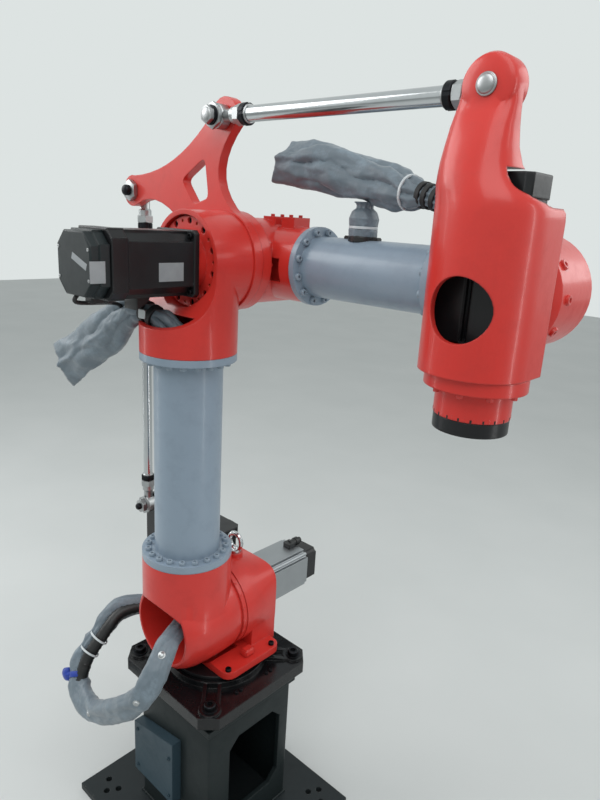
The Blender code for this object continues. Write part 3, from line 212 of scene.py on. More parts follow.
def enamel(name, hex_colour, rough, coat, peel, under, wear, gloss):
    """Sprayed machine enamel over a casting or a plate.

    The eye gets a clear gloss with orange peel, a slightly uneven colour, dust
    that dulls it in patches, and edges where the coat has worn thin.
    """
    tree, shader, place = new_material(name)
    uneven = add_node(tree, "ShaderNodeTexNoise", patches_of(place, 140 * MM, 4), "Fac")
    clouds = add_node(tree, "ShaderNodeTexNoise", patches_of(place, 45 * MM, 6, 0.65), "Fac")
    dust = add_node(
        tree, "ShaderNodeMapRange", {"Value": clouds, "From Min": 0.48, "From Max": 0.75}, "Result"
    )
    base = add_node(tree, "ShaderNodeMix", {
        "Factor": uneven, FIRST: shade(hex_colour, 0.95), SECOND: shade(hex_colour, 1.05),
    }, MIXED, data_type="RGBA")
    dusty = add_node(tree, "ShaderNodeMix", {
        "Factor": dust, FIRST: base, SECOND: shade(hex_colour, 0.90),
    }, MIXED, data_type="RGBA")
    edge, rounded = edge_mask(tree, 3.6 * MM)
    flakes = add_node(tree, "ShaderNodeTexNoise", patches_of(place, 9 * MM, 5, 0.7), "Fac")
    chips = add_node(tree, "ShaderNodeMapRange", {
        "Value": flakes, "From Min": 0.60 - wear, "From Max": 0.66 - wear,
    }, "Result")
    worn = add_node(tree, "ShaderNodeMath", {0: edge, 1: chips}, 0, operation="MULTIPLY")
    colour = add_node(tree, "ShaderNodeMix", {
        "Factor": worn, FIRST: dusty, SECOND: linear(under),
    }, MIXED, data_type="RGBA")
    dulled = add_node(tree, "ShaderNodeMapRange", {
        "Value": dust, "To Min": rough, "To Max": rough + 0.14,
    }, "Result")
    dimples = add_node(tree, "ShaderNodeTexNoise", patches_of(place, peel, 2), "Fac")
    orange_peel = add_node(tree, "ShaderNodeBump", {
        "Height": dimples, "Strength": 0.25, "Distance": 0.25 * MM, "Normal": rounded,
    }, "Normal")
    lumps = add_node(tree, "ShaderNodeTexNoise", patches_of(place, 22 * MM, 3), "Fac")
    cast_skin = add_node(tree, "ShaderNodeBump", {
        "Height": lumps, "Strength": 0.35, "Distance": 0.9 * MM, "Normal": orange_peel,
    }, "Normal")
    feed(tree, shader, {
        "Base Color": colour, "Roughness": dulled, "Normal": cast_skin, "Coat Weight": coat,
        "Coat Roughness": 0.12, "Specular IOR Level": gloss,
    })


def metal(name, hex_colour, rough, streak, grain):
    """Turned steel, bare or plated, or die cast aluminium.

    The eye gets fine turning marks, smears that dull it in places, and edges
    that are rubbed a little brighter.
    """
    tree, shader, place = new_material(name)
    smear = add_node(tree, "ShaderNodeTexNoise", patches_of(place, 30 * MM, 5, 0.6), "Fac")
    tone = add_node(tree, "ShaderNodeMix", {
        "Factor": smear, FIRST: shade(hex_colour, 0.82), SECOND: linear(hex_colour),
    }, MIXED, data_type="RGBA")
    edge, rounded = edge_mask(tree, 1.0 * MM)
    colour = add_node(tree, "ShaderNodeMix", {
        "Factor": edge, FIRST: tone, SECOND: shade(hex_colour, 1.15),
    }, MIXED, data_type="RGBA")
    smeared = add_node(tree, "ShaderNodeMapRange", {
        "Value": smear, "To Min": rough, "To Max": rough + streak,
    }, "Result")
    lines = add_node(tree, "ShaderNodeTexNoise", patches_of(place, grain, 2), "Fac")
    marks = add_node(tree, "ShaderNodeBump", {
        "Height": lines, "Strength": 0.15, "Distance": 0.15 * MM, "Normal": rounded,
    }, "Normal")
    feed(tree, shader, {
        "Base Color": colour, "Roughness": smeared, "Normal": marks, "Metallic": 1,
    })


def coated_cloth(name, hex_colour, thread, rough):
    """Woven polyester with a polyurethane coat.

    The eye gets a dull sheen that breaks along the folds, a faint weave, and
    paler creases where the coat has cracked. The weave is drawn at 2 to 3 mm,
    coarser than the real thread, so that it shows.
    """
    tree, shader, place = new_material(name)
    creases = add_node(tree, "ShaderNodeTexNoise", patches_of(place, 38 * MM, 7, 0.72), "Fac")
    pale = add_node(
        tree, "ShaderNodeMapRange", {"Value": creases, "From Min": 0.50, "From Max": 0.72}, "Result"
    )
    tone = add_node(tree, "ShaderNodeMix", {
        "Factor": pale, FIRST: shade(hex_colour, 0.80), SECOND: shade(hex_colour, 1.25),
    }, MIXED, data_type="RGBA")
    weave = add_node(
        tree, "ShaderNodeTexVoronoi", {"Vector": place, "Scale": 1 / thread}, "Distance",
        distance="CHEBYCHEV",
    )
    fine = add_node(
        tree, "ShaderNodeBump", {"Height": weave, "Strength": 0.12, "Distance": 0.4 * MM}, "Normal"
    )
    crumpled = add_node(tree, "ShaderNodeBump", {
        "Height": creases, "Strength": 0.5, "Distance": 4 * MM, "Normal": fine,
    }, "Normal")
    cracked = add_node(tree, "ShaderNodeMapRange", {
        "Value": pale, "To Min": rough, "To Max": rough + 0.18,
    }, "Result")
    feed(tree, shader, {
        "Base Color": tone, "Normal": crumpled, "Roughness": cracked,
        "Sheen Weight": 0.25, "Sheen Roughness": 0.4,
    })


def plastic(name, hex_colour, rough, grain):
    """Moulded nylon, rubber or film.

    The eye gets the fine grain of a spark-eroded mould, soft edges and a
    colour that is a little uneven.
    """
    tree, shader, place = new_material(name)
    uneven = add_node(tree, "ShaderNodeTexNoise", patches_of(place, 20 * MM), "Fac")
    tone = add_node(tree, "ShaderNodeMix", {
        "Factor": uneven, FIRST: shade(hex_colour, 0.85), SECOND: shade(hex_colour, 1.15),
    }, MIXED, data_type="RGBA")
    rounded = add_node(tree, "ShaderNodeBevel", {"Radius": 0.8 * MM}, "Normal", samples=4)
    pits = add_node(tree, "ShaderNodeTexNoise", patches_of(place, grain, 2), "Fac")
    bumps = add_node(tree, "ShaderNodeBump", {
        "Height": pits, "Strength": 0.2, "Distance": 0.2 * MM, "Normal": rounded,
    }, "Normal")
    feed(tree, shader, {"Base Color": tone, "Normal": bumps, "Roughness": rough})


def make_finishes(colours):
    """Every finish of the arm, by its name."""
    # Name, colour, roughness, clear coat, orange peel in mm, colour beneath, wear, gloss.
    for name, colour, rough, coat, peel, under, wear, gloss in (
        ("Vermilion enamel", colours.casting, 0.30, 0.25, 3.2, "7A2A22", -0.02, 0.35),
        ("Blue grey enamel", colours.tube, 0.36, 0.20, 2.4, "5B6872", -0.02, 0.50),
        ("Pedestal paint", colours.pedestal, 0.46, 0.00, 3.0, "4A4E4D", -0.02, 0.25),
        ("Plate paint", colours.plate, 0.50, 0.00, 3.0, "6B6C68", 0.02, 0.25),
        ("Green black enamel", "1B2325", 0.38, 0.00, 2.6, "55565A", -0.03, 0.30),
        ("Painted screws", "8796A3", 0.40, 0.10, 1.4, "4E5962", -0.02, 0.50),
        ("Slate paint", colours.side_box, 0.44, 0.00, 3.0, "2E363B", -0.01, 0.30),
        ("Black enamel", colours.black, 0.32, 0.00, 2.6, "55565A", 0.00, 0.35),
        ("Base enamel", "0E0F11", 0.22, 0.15, 2.6, "3A3B3E", -0.02, 0.30),
    ):
        enamel(name, colour, rough, coat, peel * MM, under, wear, gloss)
    # Name, colour, roughness, how much the smears add to it, turning marks in mm.
    for name, colour, rough, streak, grain in (
        ("Chromed steel", "C9CCCE", 0.10, 0.10, 1.5),
        ("Satin steel", "B4B7B8", 0.32, 0.12, 0.9),
        ("Brass plug", "B08D4A", 0.35, 0.15, 0.9),
        ("Zinc plated steel", "A9ABAC", 0.28, 0.18, 1.2),
        ("Black oxide steel", "2A2B2E", 0.36, 0.14, 1.0),
        ("Die cast aluminium", "A7ABAE", 0.38, 0.14, 1.0),
    ):
        metal(name, colour, rough, streak, grain * MM)
    # Name, colour, thread in mm, roughness.
    for name, colour, thread, rough in (
        ("Coated cloth", colours.cloth, 3.0, 0.42), ("Blue cloth strip", colours.tie, 2.4, 0.55),
    ):
        coated_cloth(name, colour, thread * MM, rough)
    # Name, colour, roughness, mould grain in mm.
    for name, colour, rough, grain in (
        ("Black nylon", "141516", 0.42, 0.8), ("Black rubber", "1A1B1C", 0.62, 0.9),
        ("Label film", "8C9194", 0.35, 1.2), ("Clear tie plastic", "C6CDD0", 0.30, 1.0),
        # The near-black recess finish paints the shade inside the reducer's foot notches.
        ("Painted recess shade", "0B0B0C", 0.70, 1.0),
    ):
        plastic(name, colour, rough, grain * MM)


def place_on(centre, axis, turn=0.0):
    """Matrix that lays local Z along an axis at a centre."""
    rotation = Vector(axis).to_track_quat("Z", "Y").to_matrix().to_4x4()
    return Matrix.Translation(centre) @ rotation @ Matrix.Rotation(turn, 4, "Z")


def circle(radius, sides, start=0.0):
    """Points of a circle in the local plane."""
    return [
        (
            radius * math.cos(start + math.tau * index / sides),
            radius * math.sin(start + math.tau * index / sides),
        )
        for index in range(sides)
    ]


def add_lathe(shape, profile, matrix=Matrix(), sides=48):
    """Add a turned body from (radius, height) points, foot first."""
    rows = []
    for radius, height in profile:
        if radius <= 0:
            rows.append([shape.verts.new(matrix @ Vector((0, 0, height)))] * sides)
        else:
            rows.append([
                shape.verts.new(matrix @ Vector((x, y, height))) for x, y in circle(radius, sides)
            ])
    for low, high in zip(rows, rows[1:]):
        for index in range(sides):
            after = (index + 1) % sides
            corners = list(dict.fromkeys((low[index], low[after], high[after], high[index])))
            if len(corners) > 2:
                shape.faces.new(corners)
    for row in (rows[0], rows[-1]):
        if row[0] is not row[1]:
            shape.faces.new(row)


def skin(shape, rows, capped=True):
    """Join closed rings of vertices into a side, with or without its ends."""
    count = len(rows[0])
    for low, high in zip(rows, rows[1:]):
        for index in range(count):
            after = (index + 1) % count
            shape.faces.new((low[index], low[after], high[after], high[index]))
    if capped:
        shape.faces.new(rows[0])
        shape.faces.new(rows[-1])


def add_ring(shape, profile, matrix=Matrix(), sides=48):
    """Add a turned ring from the (radius, height) points of its closed section."""
    rows = [
        [shape.verts.new(matrix @ Vector((x, y, height))) for x, y in circle(radius, sides)]
        for radius, height in profile
    ]
    skin(shape, rows + rows[:1], capped=False)


def add_nut(shape, wide, thick, matrix):
    """Add a hexagon whose corners are cut by a round chamfer, as on a nut."""
    flat = wide / 2
    inner = flat * 0.96
    corner = math.pi / 3
    steps = 36
    rows = []
    for foot, sense in ((0, 1), (thick, -1)):
        rim = []
        edge = []
        for index in range(steps):
            angle = math.tau * index / steps
            reach = flat / math.cos((angle + corner / 2) % corner - corner / 2)
            drop = (reach - flat) * 0.6 + 0.3 * MM
            x, y = math.cos(angle), math.sin(angle)
            rim.append(shape.verts.new(matrix @ Vector((x * inner, y * inner, foot))))
            side = Vector((x * reach, y * reach, foot + sense * drop))
            edge.append(shape.verts.new(matrix @ side))
        rows += [rim, edge] if sense > 0 else [edge, rim]
    skin(shape, rows)


def dome(radius, foot, rise, steps=6):
    """Profile of a low dome, from its rim to its crown."""
    turns = [math.pi / 2 * step / steps for step in range(steps + 1)]
    points = [(radius * math.cos(turn), foot + rise * math.sin(turn)) for turn in turns]
    return points[:-1] + [(0, foot + rise)]


def add_prism(shape, outline, depth, matrix=Matrix(), bevel=0.0):
    """Add a plate of an outline, from local Z 0 to depth, with rounded rims."""
    levels = [(0, 0), (depth, 0)]
    if bevel:
        levels = [(0, bevel), (bevel, 0), (depth - bevel, 0), (depth, bevel)]
    points = [Vector(point) for point in outline]
    middle = sum(points, Vector((0, 0))) / len(points)
    reach = max((point - middle).length for point in points)
    rows = []
    for height, inset in levels:
        inwards = [middle + (point - middle) * (1 - inset / reach) for point in points]
        rows.append([
            shape.verts.new(matrix @ Vector((point.x, point.y, height))) for point in inwards
        ])
    skin(shape, rows)


def add_block(shape, low, high, bevel=0.0, matrix=Matrix()):
    """Add a box between two corners, with rounded edges."""
    low = Vector(low)
    high = Vector(high)
    part = bmesh.new()
    bmesh.ops.create_cube(part, size=1)
    bmesh.ops.scale(part, vec=high - low, verts=part.verts)
    bmesh.ops.translate(part, vec=(low + high) / 2, verts=part.verts)
    if bevel:
        bmesh.ops.bevel(part, geom=part.edges, offset=bevel, segments=3, affect="EDGES")
    bmesh.ops.transform(part, matrix=matrix, verts=part.verts)
    mesh = bpy.data.meshes.new("block")
    part.to_mesh(mesh)
    part.free()
    shape.from_mesh(mesh)
    bpy.data.meshes.remove(mesh)


def smooth_path(points, steps):
    """Points along a smooth curve through a few points."""
    path = []
    for index in range(len(points) - 1):
        before = Vector(points[max(index - 1, 0)])
        here = Vector(points[index])
        there = Vector(points[index + 1])
        after = Vector(points[min(index + 2, len(points) - 1)])
        for step in range(steps):
            share = step / steps
            line = (there - before) * share
            square = (2 * before - 5 * here + 4 * there - after) * share**2
            cube = (3 * here - 3 * there + after - before) * share**3
            path.append(here + (line + square + cube) / 2)
    path.append(Vector(points[-1]))
    return path


def direction_at(path, index):
    """Direction of a path at one of its points."""
    return (path[min(index + 1, len(path) - 1)] - path[max(index - 1, 0)]).normalized()


def frames_along(path):
    """Place, side and up vectors along a path, without twist."""
    rows = []
    side = direction_at(path, 0).orthogonal()
    for index, place in enumerate(path):
        along = direction_at(path, index)
        side = (side - along * side.dot(along)).normalized()
        rows.append((place, side, along.cross(side)))
    return rows


def facing_frames(path, facing):
    """Place, wide direction and thin direction along a strip that faces one way."""
    rows = []
    for index, place in enumerate(path):
        along = direction_at(path, index)
        thin = (facing - along * facing.dot(along)).normalized()
        rows.append((place, along.cross(thin), thin))
    return rows


def add_tube(shape, path, radius, sides=12):
    """Add a round closed tube along a path."""
    skin(shape, [
        [shape.verts.new(place + side * x + up * y) for x, y in circle(radius, sides)]
        for place, side, up in frames_along(path)
    ])


def mesh_of(shape, name="blank"):
    """Mesh of a finished bmesh, with its faces pointing outwards."""
    bmesh.ops.recalc_face_normals(shape, faces=shape.faces)
    mesh = bpy.data.meshes.new(name)
    shape.to_mesh(mesh)
    shape.free()
    return mesh


def make_piece(name, shape, finish, body, stands_for=(), angle=34):
    """Turn a finished bmesh into a piece that rides on a body."""
    return piece_from_mesh(name, mesh_of(shape, name), finish, body, stands_for, angle)


def piece_from_mesh(name, mesh, finish, body, stands_for=(), angle=34):
    """Give a mesh its object, finish and body."""
    thing = bpy.data.objects.new(name, mesh)
    bpy.context.scene.collection.objects.link(thing)
    mesh.materials.clear()
    mesh.materials.append(FINISHES[finish])
    mesh.shade_smooth()
    mesh.set_sharp_from_angle(angle=math.radians(angle))
    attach(thing, body)
    for node in stands_for:
        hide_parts(node)
    return thing


def drilled(mesh, holes):
    """Cut a list of cutter bodies, given as one bmesh, out of a mesh."""
    solid = bpy.data.objects.new("blank", mesh)
    tool = bpy.data.objects.new("drill", mesh_of(holes, "drill"))
    for thing in (solid, tool):
        bpy.context.scene.collection.objects.link(thing)
    change = solid.modifiers.new("Drill", "BOOLEAN")
    change.operation = "DIFFERENCE"
    change.solver = "EXACT"
    change.object = tool
    graph = bpy.context.evaluated_depsgraph_get()
    made = bpy.data.meshes.new_from_object(solid.evaluated_get(graph))
    for thing in (solid, tool):
        bpy.data.objects.remove(thing)
    return made


def new_tree(name, sockets):
    """Geometry Nodes tree with named inputs, its group input and its output."""
    tree = bpy.data.node_groups.new(name, "GeometryNodeTree")
    tree.interface.new_socket("Geometry", in_out="INPUT", socket_type="NodeSocketGeometry")
    for label, kind in sockets:
        tree.interface.new_socket(label, in_out="INPUT", socket_type=kind)
    tree.interface.new_socket("Geometry", in_out="OUTPUT", socket_type="NodeSocketGeometry")
    source = tree.nodes.new("NodeGroupInput").outputs
    target = tree.nodes.new("NodeGroupOutput").inputs["Geometry"]
    TREES[name] = tree
    return tree, source, target


def end_tree(tree, spread, finish, target):
    """End a tree: its instances made real, with their finish."""
    real = add_node(tree, "GeometryNodeRealizeInstances", {"Geometry": spread}, 0)
    dressed = add_node(tree, "GeometryNodeSetMaterial", {"Geometry": real, "Material": finish}, 0)
    tree.links.new(dressed, target)


def build_screw_tree():
    """Screw heads on the vertices of a mesh, heads along local Z."""
    tree, source, target = new_tree("Screw heads", (
        ("Head radius", "NodeSocketFloat"), ("Head height", "NodeSocketFloat"),
        ("Sides", "NodeSocketInt"), ("Socket share", "NodeSocketFloat"),
        ("Finish", "NodeSocketMaterial"),
    ))
    height = source["Head height"]
    half, chamfer, depth = (
        add_node(tree, "ShaderNodeMath", {0: height, 1: share}, 0, operation="MULTIPLY")
        for share in (0.5, 0.16, -0.6)
    )
    blank = add_node(tree, "GeometryNodeMeshCylinder", {
        "Vertices": source["Sides"], "Radius": source["Head radius"], "Depth": height,
    })
    lift = add_node(tree, "ShaderNodeCombineXYZ", {"Z": half}, 0)
    raised = add_node(
        tree, "GeometryNodeTransform", {"Geometry": blank.outputs["Mesh"], "Translation": lift}, 0
    )
    crown = add_node(tree, "GeometryNodeExtrudeMesh", {
        "Mesh": raised, "Selection": blank.outputs["Top"], "Offset Scale": chamfer,
    }, mode="FACES")
    narrowed = add_node(tree, "GeometryNodeScaleElements", {
        "Geometry": crown.outputs["Mesh"], "Selection": crown.outputs["Top"], "Scale": 0.88,
    }, 0)
    inner = add_node(tree, "GeometryNodeExtrudeMesh", {
        "Mesh": narrowed, "Selection": crown.outputs["Top"], "Offset Scale": 0.0,
    }, mode="FACES")
    rim = add_node(tree, "GeometryNodeScaleElements", {
        "Geometry": inner.outputs["Mesh"], "Selection": inner.outputs["Top"],
        "Scale": source["Socket share"],
    }, 0)
    socket = add_node(tree, "GeometryNodeExtrudeMesh", {
        "Mesh": rim, "Selection": inner.outputs["Top"], "Offset Scale": depth,
    }, "Mesh", mode="FACES")
    spread = add_node(tree, "GeometryNodeInstanceOnPoints", {
        "Points": source["Geometry"], "Instance": socket,
    }, 0)
    end_tree(tree, spread, source["Finish"], target)


def build_bead_tree():
    """Weld bead: short overlapping beads along the edges of a mesh."""
    tree, source, target = new_tree("Weld bead", (
        ("Bead radius", "NodeSocketFloat"), ("Pitch", "NodeSocketFloat"),
        ("Finish", "NodeSocketMaterial"),
    ))
    path = add_node(tree, "GeometryNodeMeshToCurve", {"Mesh": source["Geometry"]}, 0)
    spaced = add_node(
        tree, "GeometryNodeResampleCurve", {"Curve": path, "Length": source["Pitch"]}, 0,
        mode="LENGTH",
    )
    bead = add_node(tree, "GeometryNodeMeshUVSphere", {
        "Segments": 8, "Rings": 5, "Radius": source["Bead radius"],
    }, "Mesh")
    smallest, largest = 0.85, 1.15
    wobble = add_node(
        tree, "FunctionNodeRandomValue", {2: smallest, 3: largest, "Seed": 7}, 1, data_type="FLOAT"
    )
    spread = add_node(tree, "GeometryNodeInstanceOnPoints", {
        "Points": spaced, "Instance": bead, "Scale": wobble,
    }, 0)
    end_tree(tree, spread, source["Finish"], target)


def build_smoothing_tree():
    """Round shading on a frame node, with its sharp edges kept."""
    tree, source, target = new_tree("Round shading", (("Angle", "NodeSocketFloat"),))
    plain = add_node(
        tree, "GeometryNodeRemoveAttribute",
        {"Geometry": source["Geometry"], "Name": "custom_normal"}, 0,
    )
    merged = add_node(
        tree, "GeometryNodeMergeByDistance", {"Geometry": plain, "Distance": 0.02 * MM}, 0
    )
    angle = add_node(tree, "GeometryNodeInputMeshEdgeAngle", output="Unsigned Angle")
    sharp = add_node(
        tree, "FunctionNodeCompare", {0: angle, 1: source["Angle"]}, 0,
        data_type="FLOAT", operation="GREATER_THAN",
    )
    marked = add_node(
        tree, "GeometryNodeStoreNamedAttribute",
        {"Geometry": merged, "Name": "sharp_edge", "Value": sharp}, 0,
        data_type="BOOLEAN", domain="EDGE",
    )
    shaded = add_node(
        tree, "GeometryNodeSetShadeSmooth", {"Geometry": marked, "Shade Smooth": True}, 0
    )
    tree.links.new(shaded, target)


def set_inputs(modifier, values):
    """Set a modifier's inputs by the identifiers of their named sockets."""
    for item in modifier.node_group.interface.items_tree:
        if item.item_type == "SOCKET" and item.in_out == "INPUT" and item.name in values:
            modifier[item.identifier] = values[item.name]


def grown(tree_name, points, edges, values, matrix):
    """Run a tree on a small mesh and return the plain result, in place."""
    mesh = bpy.data.meshes.new("seeds")
    mesh.from_pydata(points, edges, [])
    carrier = bpy.data.objects.new("carrier", mesh)
    bpy.context.scene.collection.objects.link(carrier)
    change = carrier.modifiers.new(tree_name, "NODES")
    change.node_group = TREES[tree_name]
    set_inputs(change, values)
    graph = bpy.context.evaluated_depsgraph_get()
    made = bpy.data.meshes.new_from_object(carrier.evaluated_get(graph))
    bpy.data.objects.remove(carrier)
    made.transform(matrix)
    return made


def screws(name, spots, matrix, radius, height, finish, body, sides=16, socket=0.6):
    """Screw heads at spots of a plane, as one piece."""
    values = {
        "Head radius": radius, "Head height": height, "Sides": sides,
        "Socket share": socket, "Finish": FINISHES[finish],
    }
    made = grown("Screw heads", [(x, y, 0) for x, y in spots], [], values, matrix)
    return piece_from_mesh(name, made, finish, body)


def flange_screws(names, tube, axis, flange, ring, heights, body):
    """Rings of painted screws on the inner faces of a tube's two flanges."""
    low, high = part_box(tube)
    reach = (high - low).dot(axis) / 2 - flange
    radius = bpy.context.scene.arm_sizes.flange_screw
    for name, inward, height in zip(names, (axis, -axis), heights):
        seat = place_on((low + high) / 2 - inward * reach, inward)
        screws(name, ring, seat, radius, height, "Painted screws", body, 20, 0.5)


def corners_of(half_x, half_y):
    """Four corners of a rectangle round the centre."""
    return [(x * half_x, y * half_y) for x in (-1, 1) for y in (-1, 1)]


class PaintFrame(bpy.types.Operator):
    """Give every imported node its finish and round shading"""

    bl_idname = "arm.paint_frame"
    bl_label = "Paint the frame"

    def execute(self, context):
        make_finishes(context.scene.arm_colours)
        build_screw_tree()
        build_bead_tree()
        build_smoothing_tree()
        slots = {row["node"]: row["material_slot"] for row in frame["record"]["subparts"]}
        own = {"base_casting": "Base enamel"}
        for name, thing in frame["nodes"].items():
            finish = FINISHES[own.get(name, FINISHES_OF_SLOT[slots[name]][0])]
            if thing.material_slots:
                for slot in thing.material_slots:
                    slot.material = finish
            else:
                thing.data.materials.append(finish)
            change = thing.modifiers.new("Round shading", "NODES")
            change.node_group = TREES["Round shading"]
            set_inputs(change, {"Angle": math.radians(31)})
        return {"FINISHED"}


class MakePedestal(bpy.types.Operator):
    """Drilled floor plate, weld beads of the post and screws of the side box"""

    bl_idname = "arm.make_pedestal"
    bl_label = "Make the pedestal"

    def execute(self, context):
        self.plate()
        self.welds()
        self.side_box(context.scene.arm_sizes.small_screw)
        return {"FINISHED"}

    def plate(self):
        """Floor plate with three holes near each corner."""
        low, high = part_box("floor_plate")
        shape = bmesh.new()
        add_block(shape, low, high, 1.5 * MM)
        hole = 8 * MM
        past = 2 * MM
        group_x = high.x - 56 * MM
        group_y = high.y - 48 * MM
        holes = bmesh.new()
        for x_side, y_side in corners_of(1, 1):
            for x_shift, y_shift in ((-14, 12), (14, -12), (-30, -14)):
                x = x_side * (group_x + x_shift * MM)
                y = y_side * (group_y + y_shift * MM)
                foot = Matrix.Translation((x, y, low.z - past))
                add_lathe(holes, [(hole, 0), (hole, high.z + 2 * past)], foot, 20)
        plate = drilled(mesh_of(shape), holes)
        piece_from_mesh("floor_plate_drilled", plate, "Plate paint", "base", ["floor_plate"])

    def welds(self):
        """Weld beads round the foot and the top of the post."""
        low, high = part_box("pedestal_post")
        square = [(low.x, low.y, 0), (high.x, low.y, 0), (high.x, high.y, 0), (low.x, high.y, 0)]
        sides = [(0, 1), (1, 2), (2, 3), (3, 0)]
        paint = "Pedestal paint"
        values = {"Bead radius": 4 * MM, "Pitch": 4.2 * MM, "Finish": FINISHES[paint]}
        lift = 2 * MM
        for label, z in (("foot", low.z + lift), ("top", high.z - lift)):
            bead = grown("Weld bead", square, sides, values, Matrix.Translation((0, 0, z)))
            piece_from_mesh(f"weld_bead_{label}", bead, paint, "base", angle=180)

    def side_box(self, screw):
        """Cover screws of the box on the post's side."""
        low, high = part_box("pedestal_side_box")
        middle = (low + high) / 2
        seat = place_on((middle.x, low.y, middle.z - 14 * MM), -Y_AXIS)
        spots = corners_of(66 * MM, 56 * MM)
        screws("side_box_screws", spots, seat, screw, 3 * MM, "Slate paint", "base")


class MakeBaseCasting(bpy.types.Operator):
    """Bolts, washers and small plugs of the black base casting"""

    bl_idname = "arm.make_base_casting"
    bl_label = "Make the base casting"

    def execute(self, context):
        sizes = context.scene.arm_sizes
        bolt = sizes.anchor_bolt
        ear = 136 * MM
        washer = 1.6 * MM
        ear_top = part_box("base_casting")[1].z - 9 * MM
        plugs = [(x * 137 * MM, y * MM) for x in (-1, 1) for y in (-56, -42, 42, 56)]
        for name, spots, foot, radius, height, sides, socket in (
            ("ear_washers", corners_of(ear, ear), ear_top, bolt * 1.4, washer, 28, 0.8),
            ("ear_bolts", corners_of(ear, ear), ear_top + washer, bolt, 9 * MM, 24, 0.62),
            ("flange_plugs", plugs, ear_top - 5 * MM, sizes.small_screw, 3 * MM, 16, 0.6),
        ):
            seat = Matrix.Translation((0, 0, foot))
            screws(name, spots, seat, radius, height, "Black oxide steel", "base", sides, socket)
        return {"FINISHED"}


class MakeTurret(bpy.types.Operator):
    """Screws and stop block of the turret's foot"""

    bl_idname = "arm.make_turret"
    bl_label = "Make the turret"

    def execute(self, context):
        foot_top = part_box("rod_bracket")[0].z
        edge_spots = (
            (104, -54), (104, 88), (20, 96), (-60, 96),
            (-140, -54), (-238, -54), (-238, 60), (-238, 188),
        )
        screws(
            "foot_screws", [(x * MM, y * MM) for x, y in edge_spots],
            Matrix.Translation((0, 0, foot_top)), context.scene.arm_sizes.flange_screw, 6 * MM,
            "Black oxide steel", "turret",
        )
        shape = bmesh.new()
        near = (80 * MM, 4 * MM, foot_top)
        far = (102 * MM, 34 * MM, foot_top + 18 * MM)
        add_block(shape, near, far, 3 * MM)
        make_piece("stop_block", shape, "Vermilion enamel", "turret")
        return {"FINISHED"}


class MakeLowerArm(bpy.types.Operator):
    """Screw rings of the elbow and the column, and the drilled reducer"""

    bl_idname = "arm.make_lower_arm"
    bl_label = "Make the lower arm"

    def execute(self, context):
        flange_screws(
            ("column_foot_screws", "column_top_screws"), "column_tube", Z_AXIS, 16 * MM,
            circle(89 * MM, 20, math.radians(9)), (6.5 * MM, 7 * MM), "lower_arm",
        )
        seam_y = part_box("lower_elbow")[1].y - 12 * MM
        open_top = math.radians(34)
        seam = [
            spot for spot in circle(106.5 * MM, 22)
            if abs(math.atan2(spot[1], spot[0]) - math.pi / 2) > open_top
        ]
        screws(
            "elbow_seam_screws", seam, place_on((SHOULDER.x, seam_y, SHOULDER.z), -Y_AXIS),
            context.scene.arm_sizes.small_screw, 5 * MM, "Vermilion enamel", "lower_arm",
        )
        self.reducer()
        return {"FINISHED"}

    def reducer(self):
        """Red reducer in the housing, with a ring of deep and shallow holes."""
        low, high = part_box("elbow_reducer")
        outer = (high.x - low.x) / 2
        hub = 62 * MM
        rise = 20 * MM
        face = high.y - low.y - rise
        matrix = place_on((ELBOW.x, high.y, ELBOW.z), -Y_AXIS)
        shape = bmesh.new()
        add_lathe(shape, [
            (outer, 0), (outer, face - MM), (outer - MM, face), (hub, face),
            (hub, face + rise - MM), (hub - MM, face + rise),
        ], matrix, 96)
        count = 11
        start = math.radians(85)
        deep = circle(82 * MM, count, start)
        shallow = circle(82 * MM, count, start + math.pi / count)
        holes = bmesh.new()
        for spots, radius, depth, sides in (
            (deep, 6.4 * MM, 8 * MM, 20), (shallow, 3.2 * MM, 6 * MM, 14),
        ):
            for x, y in spots:
                bore = matrix @ Matrix.Translation((x, y, 0))
                add_lathe(holes, [(radius, face - depth), (radius, face + MM)], bore, sides)
        piece_from_mesh(
            "drilled_reducer", drilled(mesh_of(shape), holes), "Vermilion enamel", "lower_arm",
            ["elbow_reducer"],
        )
        for name, spots, depth, radius, height, finish, sides, socket in (
            ("reducer_screws", deep, 7.8, 5.6, 4, "Black oxide steel", 16, 0.6),
            ("reducer_plugs", shallow, 5.8, 2.8, 2.5, "Brass plug", 12, 0.5),
        ):
            floor = matrix @ Matrix.Translation((0, 0, face - depth * MM))
            screws(
                name, spots, floor, radius * MM, height * MM, finish, "lower_arm", sides, socket
            )


def servo_outline(side, clip, notch=0.0):
    """Square with clipped corners, each with a small step at both ends."""
    half = side / 2
    corner = [(half, clip - half), (half, half - clip)]
    if notch:
        corner = [(half - notch, clip - half)] + corner + [(half - notch, half - clip)]
    points = []
    for turn in range(4):
        rotation = Matrix.Rotation(math.pi / 2 * turn, 2)
        points += [tuple(rotation @ Vector(point)) for point in corner]
    return points


def add_servo(shape, length, side, matrix):
    """Servo body: square flange, grooved stack and stepped rear end."""
    flange = 12 * MM
    rear = 34 * MM
    square = servo_outline(side, side * 0.05)
    grooved = servo_outline(side * 0.955, side * 0.15, side * 0.045)
    stepped = servo_outline(side * 0.985, side * 0.12, side * 0.02)
    for outline, foot, thick, bevel in (
        (square, 0, flange, 1.2), (grooved, flange, length - flange - rear, 0.8),
        (stepped, length - rear, rear, 1.6),
    ):
        add_prism(shape, outline, thick, matrix @ Matrix.Translation((0, 0, foot)), bevel * MM)


